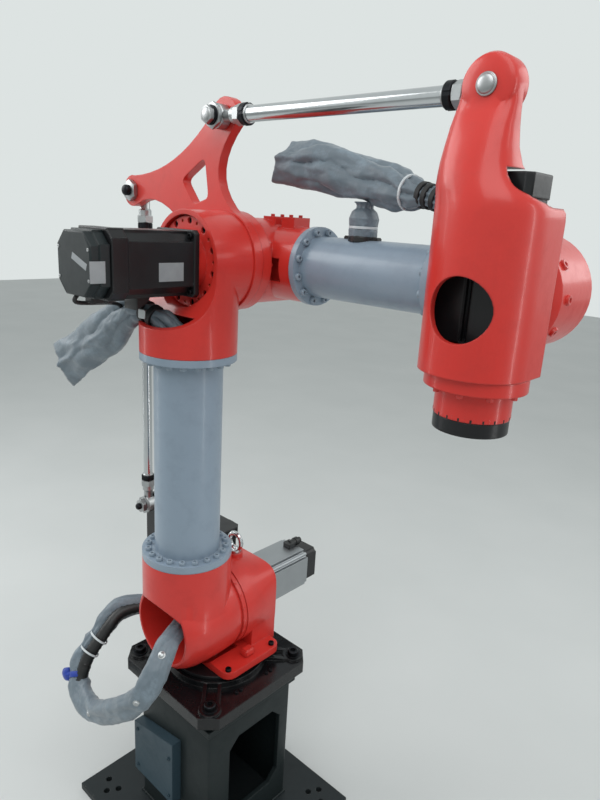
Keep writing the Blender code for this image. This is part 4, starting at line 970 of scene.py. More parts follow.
def add_connector(shape, place, out, along, width):
    """Square connector block with its round coupling and its cable gland."""
    up = Vector(out).normalized()
    add_prism(shape, servo_outline(width, width * 0.1), width * 0.55, place_on(place, up), MM)
    turned = (
        (0.38, 0), (0.38, 0.75), (0.45, 0.78), (0.45, 1.2), (0.3, 1.25), (0.3, 1.6),
    )
    profile = [(width * radius, width * height) for radius, height in turned]
    add_lathe(shape, profile, place_on(Vector(place) + up * width * 0.3, along), 24)


class MakeMotors(bpy.types.Operator):
    """Servo motors with their flanges, caps, connectors and blank labels"""

    bl_idname = "arm.make_motors"
    bl_label = "Make the motors"

    def execute(self, context):
        self.elbow_motor()
        self.elbow_cap()
        self.elbow_connectors()
        self.shoulder_motor()
        self.waist_motor()
        self.tool_motor()
        return {"FINISHED"}

    def elbow_motor(self):
        """Black 130 mm servo on the elbow."""
        low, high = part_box("j3_motor")
        side = high.x - low.x
        matrix = place_on((ELBOW.x, high.y, ELBOW.z), -Y_AXIS)
        shape = bmesh.new()
        add_servo(shape, high.y - low.y, side, matrix)
        make_piece("elbow_servo", shape, "Black enamel", "lower_arm", ["j3_motor"])
        half = side / 2 - 11 * MM
        seat = place_on((ELBOW.x, high.y - 12 * MM, ELBOW.z), -Y_AXIS)
        screws(
            "elbow_servo_screws", corners_of(half, half), seat, 5.5 * MM, 5 * MM,
            "Black oxide steel", "lower_arm",
        )

    def elbow_cap(self):
        """Stepped cap on the servo's end, its screws and the blank labels."""
        body_low, body_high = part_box("j3_motor")
        low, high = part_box("j3_motor_cap")
        side = high.x - low.x
        length = high.y - low.y
        matrix = place_on((ELBOW.x, high.y, ELBOW.z), -Y_AXIS)
        shape = bmesh.new()
        stepped = servo_outline(side, side * 0.19, side * 0.035)
        add_prism(shape, stepped, length * 0.55, matrix, 1.5 * MM)
        end = matrix @ Matrix.Translation((0, 0, length * 0.5))
        add_prism(shape, servo_outline(side * 0.95, side * 0.2), length * 0.5, end, 2.5 * MM)
        make_piece(
            "elbow_servo_cap", shape, "Green black enamel", "lower_arm", ["j3_motor_cap"]
        )
        half = side / 2 - 9 * MM
        screws(
            "elbow_cap_screws", corners_of(half, half * 0.52),
            place_on((ELBOW.x, low.y + 0.2 * MM, ELBOW.z), -Y_AXIS), 3 * MM, 1.2 * MM,
            "Zinc plated steel", "lower_arm",
        )
        shape = bmesh.new()
        stack_x = ELBOW.x + (body_high.x - body_low.x) / 2 * 0.955
        film = 0.1 * MM
        for start, end, foot, top, face in (
            (-196, -139, -31, 4, stack_x), (-336, -306, -30, 8, ELBOW.x + side / 2),
        ):
            near = (face - 0.5 * MM, start * MM, ELBOW.z + foot * MM)
            far = (face + 0.4 * MM, end * MM, ELBOW.z + top * MM)
            add_block(shape, near, far, film)
        tilt = Matrix.Rotation(math.radians(20), 4, "Y")
        plate = Matrix.Translation((ELBOW.x + 20 * MM, low.y, ELBOW.z + 5 * MM)) @ tilt
        half = Vector((26, 0.4, 6)) * MM
        add_block(shape, -half, half + Y_AXIS * film, film, plate)
        make_piece("elbow_servo_labels", shape, "Label film", "lower_arm")

    def elbow_connectors(self):
        """Fan-shaped cable box and round connector under the servo."""
        foot_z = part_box("j3_motor")[0].z
        shape = bmesh.new()
        fan = ((-34, 0), (34, 0), (22, 24), (6, 34), (-14, 34), (-26, 20))
        seat = place_on((ELBOW.x - 58 * MM, -196 * MM, foot_z + 4 * MM), X_AXIS, -math.pi / 2)
        add_prism(shape, [(x * MM, y * MM) for x, y in fan], 46 * MM, seat, 2.5 * MM)
        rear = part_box("j3_motor_cap")[1].y + 10 * MM
        add_connector(
            shape, (ELBOW.x - 16 * MM, rear, foot_z + 5 * MM), -Z_AXIS, Y_AXIS, 26 * MM
        )
        make_piece("elbow_servo_connectors", shape, "Black nylon", "lower_arm")

    def shoulder_motor(self):
        """Bare cast servo behind the shoulder, with a black cap."""
        low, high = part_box("j2_motor")
        side = high.x - low.x
        length = high.y - low.y
        flange = 10 * MM
        half = side / 2 - 10 * MM
        shape = bmesh.new()
        matrix = place_on((SHOULDER.x, low.y, SHOULDER.z), Y_AXIS)
        add_prism(shape, servo_outline(side, side * 0.05), flange, matrix, 1.2 * MM)
        stack = matrix @ Matrix.Translation((0, 0, flange))
        add_prism(shape, servo_outline(side, side * 0.16, side * 0.07), length - flange, stack, MM)
        for x, y in corners_of(half, half):
            rod = stack @ Matrix.Translation((x, y, 0))
            add_lathe(shape, [(5 * MM, 0), (5 * MM, length - flange - 2 * MM)], rod, 20)
        make_piece("shoulder_servo", shape, "Die cast aluminium", "turret", ["j2_motor"])
        cap_low, cap_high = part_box("j2_motor_cap")
        cap_side = cap_high.x - cap_low.x
        shape = bmesh.new()
        matrix = place_on((SHOULDER.x, cap_low.y, SHOULDER.z), Y_AXIS)
        outline = servo_outline(cap_side, cap_side * 0.1, cap_side * 0.03)
        add_prism(shape, outline, cap_high.y - cap_low.y, matrix, 3 * MM)
        make_piece("shoulder_servo_cap", shape, "Black enamel", "turret", ["j2_motor_cap"])
        screws(
            "shoulder_servo_screws", corners_of(half, half),
            place_on((SHOULDER.x, high.y - 2 * MM, SHOULDER.z), -Y_AXIS),
            4.5 * MM, 4 * MM, "Zinc plated steel", "turret",
        )
        shape = bmesh.new()
        socket = (SHOULDER.x, high.y - 20 * MM, high.z)
        add_connector(shape, socket, Z_AXIS, Y_AXIS, 26 * MM)
        make_piece("shoulder_servo_connector", shape, "Black nylon", "turret")

    def waist_motor(self):
        """Black servo that stands on the turret's foot."""
        low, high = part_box("j1_motor")
        middle = (low + high) / 2
        side = high.x - low.x
        shape = bmesh.new()
        add_servo(shape, high.z - low.z, side, place_on((middle.x, middle.y, low.z), Z_AXIS))
        socket = (middle.x, high.y, high.z - 20 * MM)
        add_connector(shape, socket, Y_AXIS, -Z_AXIS, 22 * MM)
        make_piece("waist_servo", shape, "Black enamel", "turret", ["j1_motor"])
        half = side / 2 - 10 * MM
        screws(
            "waist_servo_screws", corners_of(half, half),
            place_on((middle.x, middle.y, low.z + 12 * MM), Z_AXIS),
            5 * MM, 5 * MM, "Zinc plated steel", "turret",
        )

    def tool_motor(self):
        """Black servo inside the head, and a black block between it and the head's inner wall that stands for its
        connectors and paints the shade there.
        """
        low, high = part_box("j4_motor")
        middle = (low + high) / 2
        foot = Vector((middle.x, middle.y, low.z))
        shape = bmesh.new()
        add_servo(shape, high.z - low.z, high.x - low.x, place_on(foot, Z_AXIS))
        # The black block fills the dark strip beside the servo: it is partly the servo's connectors and partly
        # painted shade.
        start = Vector((low.x - MM, middle.y, ELBOW.z + 10 * MM))
        hit, wall = frame["nodes"]["head_shell"].ray_cast(start, -X_AXIS)[:2]
        if not hit:
            raise RuntimeError("the head has no inner wall beside its servo")
        near = (wall.x + 4 * MM, low.y + 6 * MM, ELBOW.z - 70 * MM)
        far = (low.x + MM, high.y - 8 * MM, ELBOW.z + 60 * MM)
        add_block(shape, near, far, 2 * MM)
        make_piece("tool_servo", shape, "Black enamel", "head", ["j4_motor"])


class MakePins(bpy.types.Operator):
    """Pins of the linkages with their nuts, rings and domed ends"""

    bl_idname = "arm.make_pins"
    bl_label = "Make the pins"

    def execute(self, context):
        half_eye = 12.4 * MM
        plate_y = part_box("lever_plate")[0].y - 0.4 * MM
        # Name, node, spot, body, face, and fittings outwards: size in mm, thickness in mm, kind.
        for row in (
            ("mast_bolt", "mast_pin", MAST, "lever", MAST.y - half_eye,
             ((46, 8, "nut"), (19, 5, "ring"), (31, 10, "head"))),
            ("lever_bolt", "lever_rod_pin", LEVER_END, "lever", plate_y,
             ((44, 12, "nut"), (12.5, 15, "cap"))),
            ("bracket_bolt", "rod_bracket_pin", ROD_FOOT, "turret", ROD_FOOT.y - half_eye,
             ((46, 4, "nut"), (34, 12, "nut"), (9, 12, "cap"))),
        ):
            self.pin(*row)
        self.head_pin()
        return {"FINISHED"}

    def pin(self, name, node, spot, body, face_y, fittings):
        """Plain pin with a stack of fittings in front of a face."""
        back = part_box(node)[1].y
        matrix = place_on((spot.x, face_y, spot.z), -Y_AXIS)
        bright = bmesh.new()
        add_lathe(bright, [(10 * MM, face_y - back), (10 * MM, 4 * MM)], matrix, 32)
        black = bmesh.new()
        height = 0.0
        for size, thick, kind in fittings:
            size *= MM
            thick *= MM
            foot = matrix @ Matrix.Translation((0, 0, height))
            if kind == "ring":
                profile = [(size, 0.3 * MM), (size, thick - MM), (size - 2 * MM, thick)]
                add_lathe(black, profile, foot, 40)
            elif kind == "cap":
                rim = [(size, 0.2 * MM), (size, thick * 0.5)]
                add_lathe(black, rim + dome(size * 0.98, thick * 0.55, thick * 0.45), foot, 40)
            else:
                add_nut(bright, size, thick, foot)
            if kind == "head":
                crown = foot @ Matrix.Translation((0, 0, thick))
                rim = size * 0.42
                add_lathe(bright, [(rim, -MM)] + dome(rim, 0, 3 * MM), crown, 40)
            height += thick
        make_piece(name, bright, "Zinc plated steel", body, [node])
        make_piece(f"{name}_black", black, "Black oxide steel", body)

    def head_pin(self):
        """Pin of the head's lug, with its washer and its domed end."""
        low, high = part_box("head_pin")
        matrix = place_on((HEAD_END.x, high.y, HEAD_END.z), -Y_AXIS)
        length = high.y - (low.y + 14.3 * MM)
        shape = bmesh.new()
        add_lathe(shape, [(10 * MM, 0), (10 * MM, length)], matrix, 32)
        face = matrix @ Matrix.Translation((0, 0, length))
        washer = ((9, 0.2), (15.5, 0.2), (15.5, 2), (14.5, 3), (9, 3))
        add_ring(shape, [(radius * MM, height * MM) for radius, height in washer], face)
        rim = [(13 * MM, MM), (13 * MM, 4 * MM)]
        add_lathe(shape, rim + dome(12.6 * MM, 4.5 * MM, 4 * MM), face)
        make_piece("head_bolt", shape, "Zinc plated steel", "head", ["head_pin"])


class MakeRods(bpy.types.Operator):
    """Eyes, lock nuts and ring nuts of the connecting rods"""

    bl_idname = "arm.make_rods"
    bl_label = "Make the rods"

    def execute(self, context):
        reach = 74.6 * MM
        for name, node, spot, along, body, radius in (
            ("lower_rod_foot", "lower_rod_end_near", ROD_FOOT, Z_AXIS, "lower_rod", 12),
            ("lower_rod_head", "lower_rod_end_far", LEVER_END, -Z_AXIS, "lower_rod", 12),
            ("upper_rod_mast", "upper_rod_end_near", MAST, X_AXIS, "upper_rod", 15),
            ("upper_rod_head", "upper_rod_end_far", HEAD_END, -X_AXIS, "upper_rod", 15),
        ):
            self.eye(name, node, spot, along, body)
            self.ring_nut(name, spot + along * reach, along, body, radius * MM)
        return {"FINISHED"}

    def eye(self, name, node, spot, along, body):
        """Rod eye with its stepped neck and its hexagon."""
        eye = ((10.6, -12), (22, -12), (24, -10), (24, 10), (22, 12), (10.6, 12))
        neck = ((12, 0), (12, 20), (14, 23), (15.5, 24.5), (15.5, 38))
        shape = bmesh.new()
        add_ring(shape, [(x * MM, y * MM) for x, y in eye], place_on(spot, Y_AXIS))
        foot = place_on(spot + along * 20 * MM, along)
        add_lathe(shape, [(x * MM, y * MM) for x, y in neck], foot, 40)
        add_nut(shape, 36 * MM, 17 * MM, place_on(spot + along * 57 * MM, along))
        make_piece(f"{name}_eye", shape, "Satin steel", body, [node])

    def ring_nut(self, name, spot, along, body, radius):
        """Black round lock nut with four slots, and the bright ring behind it."""
        inner = radius + 4.5 * MM
        outer = radius + 6 * MM
        thick = 14 * MM
        chamfer = 1.5 * MM
        blank = bmesh.new()
        add_lathe(blank, [
            (inner, 0), (outer, chamfer), (outer, thick - chamfer), (inner, thick),
        ], place_on(spot, along), 48)
        slots = bmesh.new()
        for turn in range(4):
            add_block(
                slots, (radius + 4 * MM, -3 * MM, -MM), (radius + 9 * MM, 3 * MM, thick + MM),
                matrix=place_on(spot, along, math.pi / 2 * turn),
            )
        nut = drilled(mesh_of(blank), slots)
        piece_from_mesh(f"{name}_ring_nut", nut, "Black oxide steel", body)
        collar = bmesh.new()
        add_lathe(collar, [
            (radius + 3 * MM, 0), (radius + 3 * MM, 2.5 * MM), (radius + 1.5 * MM, 4 * MM),
        ], place_on(spot + along * (thick + 0.1 * MM), along), 40)
        make_piece(f"{name}_collar", collar, "Zinc plated steel", body)


class MakeForearm(bpy.types.Operator):
    """Screw rings, wrist bosses and pad screws of the forearm"""

    bl_idname = "arm.make_forearm"
    bl_label = "Make the forearm"

    def execute(self, context):
        screw = context.scene.arm_sizes.small_screw
        flange_screws(
            ("forearm_near_screws", "forearm_far_screws"), "forearm_tube", X_AXIS, 14 * MM,
            circle(73 * MM, 12, math.radians(15)), (6.5 * MM, 6.5 * MM), "forearm",
        )
        disc_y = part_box("forearm_elbow")[0].y + 26 * MM
        wrist_low, wrist_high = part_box("wrist_housing")
        disc_ring = [spot for spot in circle(100 * MM, 20) if spot[0] < 60 * MM]
        pads = [(ELBOW.x + x * MM, y * MM) for x in (28, 84) for y in (132, 162)]
        on_disc = place_on((ELBOW.x, disc_y, ELBOW.z), Y_AXIS)
        on_wrist = place_on((WRIST.x, wrist_high.y, WRIST.z), Y_AXIS)
        on_pads = Matrix.Translation((0, 0, ELBOW.z + 99 * MM))
        for name, spots, seat, height, finish in (
            ("forearm_disc_screws", disc_ring, on_disc, 4 * MM, "Vermilion enamel"),
            ("wrist_cover_screws", circle(60 * MM, 8), on_wrist, 4 * MM, "Zinc plated steel"),
            ("pad_screws", pads, on_pads, 4.5 * MM, "Vermilion enamel"),
        ):
            screws(name, spots, seat, screw, height, finish, "forearm")
        self.bosses(Vector((WRIST.x, wrist_low.y + 44 * MM, WRIST.z)))
        return {"FINISHED"}

    def bosses(self, centre):
        """Threaded bosses round the wrist's housing."""
        boss = ((4, 0), (9, 0), (8, 6), (4, 6), (3.6, 3))
        shape = bmesh.new()
        for turn in (-32, 0, 32, 180):
            angle = math.radians(turn)
            out = Vector((math.cos(angle), 0, math.sin(angle)))
            seat = place_on(centre + out * 96 * MM, out)
            add_ring(shape, [(x * MM, y * MM) for x, y in boss], seat, 24)
        make_piece("wrist_bosses", shape, "Vermilion enamel", "forearm")


class MakeHead(bpy.types.Operator):
    """Screws of the adaptor, of the reducer and of the tool disc"""

    bl_idname = "arm.make_head"
    bl_label = "Make the head"

    def execute(self, context):
        seat = place_on((TOOL.x, TOOL.y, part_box("head_adaptor")[0].z), -Z_AXIS)
        screws(
            "adaptor_screws", circle(70.5 * MM, 10, math.radians(8)), seat,
            context.scene.arm_sizes.small_screw * 1.2, 6 * MM, "Vermilion enamel", "head", 6, 0.5,
        )
        low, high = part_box("tool_reducer")
        radius = (high.x - low.x) / 2
        foot_z = low.z + 0.3 * MM
        count = 20
        screw = ((3.6, 0), (3.6, 7), (2.8, 8))
        notch = ((3, 0), (3, 5))
        for name, inset, start, profile, sides, finish in (
            ("reducer_foot_screws", 3.4 * MM, 0, screw, 16, "Vermilion enamel"),
            # The foot notches are near-black cylinders set into the reducer's foot that paint the shade inside the
            # notches.
            ("reducer_foot_notch_shade", 2.6 * MM, math.pi / count, notch, 12, "Painted recess shade"),
        ):
            shape = bmesh.new()
            for x, y in circle(radius - inset, count, start):
                foot = Matrix.Translation((TOOL.x + x, TOOL.y + y, foot_z))
                add_lathe(shape, [(wide * MM, z * MM) for wide, z in profile], foot, sides)
            make_piece(name, shape, finish, "head")
        disc_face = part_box("tool_disc")[0].z
        height = 0.4 * MM
        screws(
            "tool_disc_screws", circle(31.5 * MM, 8),
            place_on((TOOL.x, TOOL.y, disc_face + height), Z_AXIS), 5 * MM, height,
            "Zinc plated steel", "tool",
        )
        return {"FINISHED"}


SLEEVE_STEPS = 20
SLEEVE_SIDES = 80
RIM_ROWS = 34
TOWARDS_FRONT = Vector((0.62, -0.72, 0.30))
UPPER_ROUTE = (
    (0.021, -0.122, -0.149), (-0.007, -0.144, -0.117), (-0.053, -0.154, -0.102),
    (-0.103, -0.155, -0.108), (-0.205, -0.152, -0.175), (-0.375, -0.155, -0.272),
)
UPPER_SHARES = (1.1, 1, 1.1, 1.5, 2.1, 2.4)
FOREARM_ROUTE = (
    (0.062, 0.135, 0.206), (0.120, 0.138, 0.204), (0.175, 0.142, 0.197), (0.270, 0.147, 0.1785),
    (0.360, 0.140, 0.158), (0.430, 0.130, 0.148), (0.500, 0.122, 0.130),
)
FOREARM_SHARES = (1.25, 1.3, 1.32, 1.18, 1.05, 0.8, 0.55)
LOWER_ROUTE = (
    (0.013, -0.080, 0.005), (0.043, -0.135, 0.011), (0.061, -0.180, 0.003),
    (0.078, -0.222, -0.035), (0.067, -0.254, -0.091), (-0.021, -0.264, -0.178),
    (-0.126, -0.262, -0.243), (-0.209, -0.252, -0.245), (-0.250, -0.225, -0.200),
    (-0.246, -0.180, -0.140), (-0.232, -0.115, -0.079), (-0.175, -0.030, -0.0759),
)
LOWER_SHARES = (0.72, 0.76, 0.86, 0.96, 1, 1, 1, 1, 1, 1, 1, 0.8)
BOOT_LEVELS = (0.070, 0.080, 0.092, 0.104, 0.118, 0.127, 0.136)
BOOT_RADII = (26, 26.5, 27, 28, 22, 15, 22)


def share_at(shares, part):
    """Value of a list of shares at a place between two of them."""
    part = min(max(part, 0), len(shares) - 1.0001)
    low = int(part)
    return shares[low] + (shares[low + 1] - shares[low]) * (part - low)


def crumple(spot, cell):
    """Height of crumpled cloth: flat facets between sharp ridges, about a mean of zero."""
    height = 0.0
    for scale, weight in ((1, 0.66), (2.3, 0.25), (5.1, 0.09)):
        warp = Vector(spot) * (scale / cell)
        warp += noise.noise_vector(warp * 0.7) * 0.5
        nearest = noise.voronoi(warp)[0][0]
        height += (nearest - 0.5) * weight
    return height


def crease_at(angle, run, seed):
    """Long creases that wind along a sleeve, from 0 in a valley to 1 on a ridge."""
    drift = noise.noise(Vector((run * 9, seed, math.cos(angle) * 0.6)))
    return abs(math.sin(angle * 2.5 + run * 7 + seed + 2.2 * drift)) ** 0.7


def sleeve_rows(route, radius, shares, folds, ties, flat, ends, seed):
    """Path and rings of points of a crumpled sleeve, tight and pleated where it is tied."""
    path = smooth_path(route, SLEEVE_STEPS)
    depth, grain, stretch, creased = folds
    last = len(path) - 1
    calm_rows = 2 * SLEEVE_STEPS
    rows = []
    run = 0.0
    for index, (place, wide, thin) in enumerate(facing_frames(path, TOWARDS_FRONT)):
        run += (path[index] - path[index - 1]).length if index else 0
        part = index / SLEEVE_STEPS
        width = radius * share_at(shares, part)
        tight = 0.0
        for where, reach, spread in ties:
            near = max(0, 1 - abs(part - where) / spread)
            near = near * near * (3 - 2 * near)
            width += (reach - width) * near
            tight = max(tight, near)
        calm = min([1] + [
            rows_off / calm_rows for rows_off, cut in zip((index, last - index), ends) if cut
        ])
        row = []
        for step in range(SLEEVE_SIDES):
            angle = math.tau * step / SLEEVE_SIDES
            out = wide * math.cos(angle) + thin * math.sin(angle)
            twist = angle + run * 3
            spot = Vector((math.cos(twist) * width, math.sin(twist) * width, run * stretch + seed))
            squash = 1 + flat * (1 - tight) * math.cos(2 * angle)
            crease = creased * (0.25 + 0.75 * calm) * (crease_at(angle, run, seed) - 0.66)
            pleat = 0.07 * width * tight * math.cos(11 * angle + seed)
            fold = depth * (crumple(spot, grain) + crease) * (1 - 0.85 * tight)
            row.append(place + out * (width * squash + fold + pleat - 0.05 * depth))
        rows.append(row)
    return path, rows


def cornered(rows, corners, seed):
    """Give the last end of a sleeve the corners and slanting rim of stiff cut cloth."""
    sector = math.tau / corners
    for index, row in enumerate(rows[-RIM_ROWS:]):
        share = ((index + 1) / RIM_ROWS) ** 1.6
        middle = sum(row, Vector()) / len(row)
        along = (middle - sum(rows[-RIM_ROWS - 4], Vector()) / len(row)).normalized()
        for step, spot in enumerate(row):
            angle = math.tau * step / len(row) + seed
            grown_by = 0.9 / math.cos(angle % sector - sector / 2) - 1
            slant = 12 * MM * math.cos(angle) + 34 * MM * grown_by
            row[step] = spot + (spot - middle) * grown_by * share + along * slant * share


def cloth_piece(name, node, body, route, radius, shares, folds, ties, flat, seed, ends=(0, 0)):
    """Crumpled cloth sleeve along a route, open at both ends.

    Folds are their depth, their grain, how they stretch along the sleeve and how
    deep its long creases are. A tie is its place along the route, its radius and
    its spread. An end's number is that of its corners, or 0 for a round one.
    """
    path, rows = sleeve_rows(route, radius, shares, folds, ties, flat, ends, seed)
    near_corners, far_corners = ends
    if far_corners:
        cornered(rows, far_corners, seed)
    if near_corners:
        rows.reverse()
        cornered(rows, near_corners, seed + 1)
        rows.reverse()
    shape = bmesh.new()
    skin(shape, [[shape.verts.new(spot) for spot in row] for row in rows], capped=False)
    piece = make_piece(name, shape, "Coated cloth", body, [node], 50)
    wall = piece.modifiers.new("Cloth thickness", "SOLIDIFY")
    wall.thickness = 1.4 * MM
    wall.offset = -1
    return piece, path


def frame_at(path, part):
    """Place and direction on a sleeve's path at one of its parts."""
    index = min(int(part * SLEEVE_STEPS), len(path) - 2)
    share = part * SLEEVE_STEPS - index
    place = path[index] + (path[index + 1] - path[index]) * share
    return place, (path[index + 1] - path[index]).normalized()


def across(direction, along):
    """Part of a direction that is square to another one."""
    return (direction - along * direction.dot(along)).normalized()


def add_band(shape, path, part, reach, width, thick):
    """Add a round band that clamps a sleeve at one of its parts, its sizes in mm."""
    place, along = frame_at(path, part)
    chamfer = thick * 0.2
    inner, lip, outer = reach - 2, reach + thick - chamfer, reach + thick
    section = (
        (inner, 0), (lip, 0), (outer, chamfer), (outer, width - chamfer), (lip, width),
        (inner, width),
    )
    seat = place_on(place - along * width * MM / 2, along)
    add_ring(shape, [(radius * MM, height * MM) for radius, height in section], seat, 40)


def bands_piece(name, finish, body, path, bands):
    """Piece of bands on a sleeve: each its part of the path, radius, width and thickness."""
    shape = bmesh.new()
    for band in bands:
        add_band(shape, path, *band)
    make_piece(name, shape, finish, body)


class MakeSleeves(bpy.types.Operator):
    """Crumpled cloth sleeves over the cables, with their bands, ties and rivets"""

    bl_idname = "arm.make_sleeves"
    bl_label = "Make the sleeves"

    def execute(self, context):
        # noise_vector shifts its pattern by this seed, so every run folds the cloth alike.
        noise.seed_set(5)
        depth = context.scene.arm_sizes.fold_depth
        self.upper(depth)
        self.forearm(depth)
        self.boot()
        self.lower(depth)
        return {"FINISHED"}

    def upper(self, depth):
        """Sleeve out of the housing, clamped on its rim."""
        first, buckle, last = 1.35, 1.58, 1.8
        path = cloth_piece(
            "elbow_cloth_sleeve", "upper_sleeve", "lower_arm",
            [ELBOW + Vector(point) for point in UPPER_ROUTE], 19 * MM, UPPER_SHARES,
            folds=(depth, 40 * MM, 0.5, 0.5), flat=0.22, seed=2.0, ends=(0, 5),
            ties=((first, 17 * MM, 0.4), (last, 18 * MM, 0.4)),
        )[1]
        bands_piece(
            "elbow_sleeve_bands", "Black rubber", "lower_arm", path,
            [(first, 19, 12, 4), (last, 19, 12, 4)],
        )
        place, along = frame_at(path, buckle)
        out = across(Vector((0.45, -0.88, -0.05)), along)
        shape = bmesh.new()
        seat = place_on(place + out * 18 * MM, out)
        add_prism(shape, servo_outline(19 * MM, 2 * MM), 7 * MM, seat, MM)
        make_piece("elbow_sleeve_buckle", shape, "Satin steel", "lower_arm")
        self.lead(frame_at(path, 3.3)[0])

    def lead(self, end):
        """Short stiff lead from the servo's rear corner into the sleeve."""
        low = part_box("j3_motor_cap")[0]
        start = Vector((ELBOW.x - 12 * MM, low.y + 12 * MM, low.z + 3 * MM))
        route = [start, start + Vector((-8, 4, -16)) * MM, end + Vector((30, -34, 30)) * MM, end]
        line = smooth_path(route, 8)
        radius = 4 * MM
        shape = bmesh.new()
        add_tube(shape, line, radius, 16)
        piece = make_piece("servo_lead", shape, "Black rubber", "lower_arm")

    def forearm(self, depth):
        """Baggy sleeve over the forearm, tied near the head."""
        path = cloth_piece(
            "forearm_cloth_sleeve", "forearm_sleeve", "forearm",
            [ELBOW + Vector(point) for point in FOREARM_ROUTE], 34 * MM, FOREARM_SHARES,
            folds=(depth * 1.1, 46 * MM, 0.45, 0.55), flat=0.12, seed=5.0, ends=(5, 0),
            ties=((4.25, 31 * MM, 0.4), (5.1, 19 * MM, 0.9)),
        )[1]
        bands_piece(
            "forearm_sleeve_tie", "Clear tie plastic", "forearm", path, [(4.25, 31.5, 5, 1.5)]
        )
        bands_piece(
            "forearm_sleeve_bands", "Black rubber", "forearm", path,
            [(4.75, 21, 10, 3), (4.95, 20, 10, 3), (5.2, 19.5, 10, 3)],
        )

    def boot(self):
        """Cloth boot gathered round the cable stub, and its black foot."""
        low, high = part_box("cable_stub")
        middle = (low + high) / 2
        foot = Vector((middle.x, middle.y, ELBOW.z + 63.6 * MM))
        path = cloth_piece(
            "stub_boot", "cable_stub", "forearm",
            [Vector((middle.x, middle.y, ELBOW.z + level)) for level in BOOT_LEVELS],
            MM, BOOT_RADII, folds=(4 * MM, 24 * MM, 0.8, 0.3), flat=0.03, seed=7.0,
            ties=((1.6, 25.5 * MM, 0.5), (5, 15 * MM, 1.2)),
        )[1]
        bands_piece("stub_tie", "Clear tie plastic", "forearm", path, [(1.6, 27.5, 5, 1.6)])
        shape = bmesh.new()
        near = foot + Vector((-42, -9, -3)) * MM
        add_block(shape, near, foot + Vector((42, 9, 6)) * MM, 2 * MM)
        collar = ((29, -4), (29, 5), (26, 9))
        seat = Matrix.Translation(foot)
        add_lathe(shape, [(radius * MM, height * MM) for radius, height in collar], seat, 40)
        make_piece("stub_foot", shape, "Black nylon", "forearm")

    def lower(self, depth):
        """Flat riveted sleeve that loops from the elbow's mouth to the turret's foot."""
        knot = 7.6
        piece, path = cloth_piece(
            "shoulder_cloth_sleeve", "lower_sleeve", "turret",
            [SHOULDER + Vector(point) for point in LOWER_ROUTE], 24 * MM, LOWER_SHARES,
            folds=(depth * 0.6, 34 * MM, 0.6, 0.15), flat=0.22, seed=9.0,
            ties=((knot, 20 * MM, 0.35), (8.6, 21 * MM, 0.4), (9.1, 21 * MM, 0.4)),
        )
        self.rivets(piece, path)
        self.blue_tie(path, knot)
        self.conduit(path)

    def rivets(self, piece, path):
        """Domed rivets with their washers, pressed on the cloth's front."""
        washer = [(8.5 * MM, -1.5 * MM), (8.5 * MM, 0.6 * MM), (6.4 * MM, 1.2 * MM)]
        shape = bmesh.new()
        for part in (0.75, 2.45, 4.0, 5.9):
            place, along = frame_at(path, part)
            out = across(TOWARDS_FRONT, along)
            hit, spot, normal = piece.ray_cast(place + out * 60 * MM, -out)[:3]
            if not hit:
                raise RuntimeError("a rivet found no cloth")
            seat = place_on(spot, (normal + out).normalized())
            add_lathe(shape, washer + dome(6 * MM, 1.4 * MM, 3 * MM), seat, 28)
        make_piece("sleeve_rivets", shape, "Satin steel", "turret")

    def blue_tie(self, path, part):
        """Blue strip wound round the loop, with the three lobes of its knot."""
        shape = bmesh.new()
        add_band(shape, path, part, 20.5, 14, 3.5)
        knot = frame_at(path, part)[0] + Vector((-0.78, -0.60, -0.1)).normalized() * 30 * MM
        lobe = [(0, -15 * MM), (9 * MM, -11 * MM), (13 * MM, -4 * MM)]
        lobe += dome(13 * MM, 0, 13 * MM)
        for turn, stretch in ((0.3, 1.0), (1.7, 0.85), (2.6, 0.7)):
            tilt = Matrix.Rotation(turn, 4, "Y") @ Matrix.Diagonal((1.5, 0.9, stretch, 1))
            add_lathe(shape, lobe, Matrix.Translation(knot) @ tilt, 20)
        make_piece("blue_tie", shape, "Blue cloth strip", "turret", angle=180)

    def conduit(self, path):
        """Ribbed conduit tied to the inner side of the loop."""
        start, span, count = 7.25, 3.2, 48
        ease_in, ease_out = 10, 14
        centre = SHOULDER + Vector((-120, -200, -110)) * MM
        line = []
        for step in range(count + 1):
            place, along = frame_at(path, start + span * step / count)
            ease = min(1, step / ease_in, (count - step) / ease_out)
            line.append(place + across(centre - place, along) * (6 + 17 * ease) * MM)
        shape = bmesh.new()
        ribs = []
        for index, (place, wide, thin) in enumerate(facing_frames(line, TOWARDS_FRONT)):
            radius = 15 * MM if index % 2 else 16.5 * MM
            ribs.append([
                shape.verts.new(place + wide * x + thin * y) for x, y in circle(radius, 28)
            ])
        skin(shape, ribs)
        piece = make_piece("sleeve_conduit", shape, "Black nylon", "turret", angle=70)
        section = ((33, -2.5), (34.6, -2.5), (34.6, 2.5), (33, 2.5))
        shape = bmesh.new()
        for part in (8.55, 9.05):
            place, along = frame_at(path, part)
            other = line[round((part - start) / span * count)]
            inward = (other - place).normalized()
            turned = Matrix((inward, along.cross(inward), along)).transposed().to_4x4()
            oval = turned @ Matrix.Diagonal((1, 0.68, 1, 1))
            seat = Matrix.Translation((place + other) / 2) @ oval
            add_ring(shape, [(radius * MM, height * MM) for radius, height in section], seat)
        make_piece("sleeve_zip_ties", shape, "Clear tie plastic", "turret")


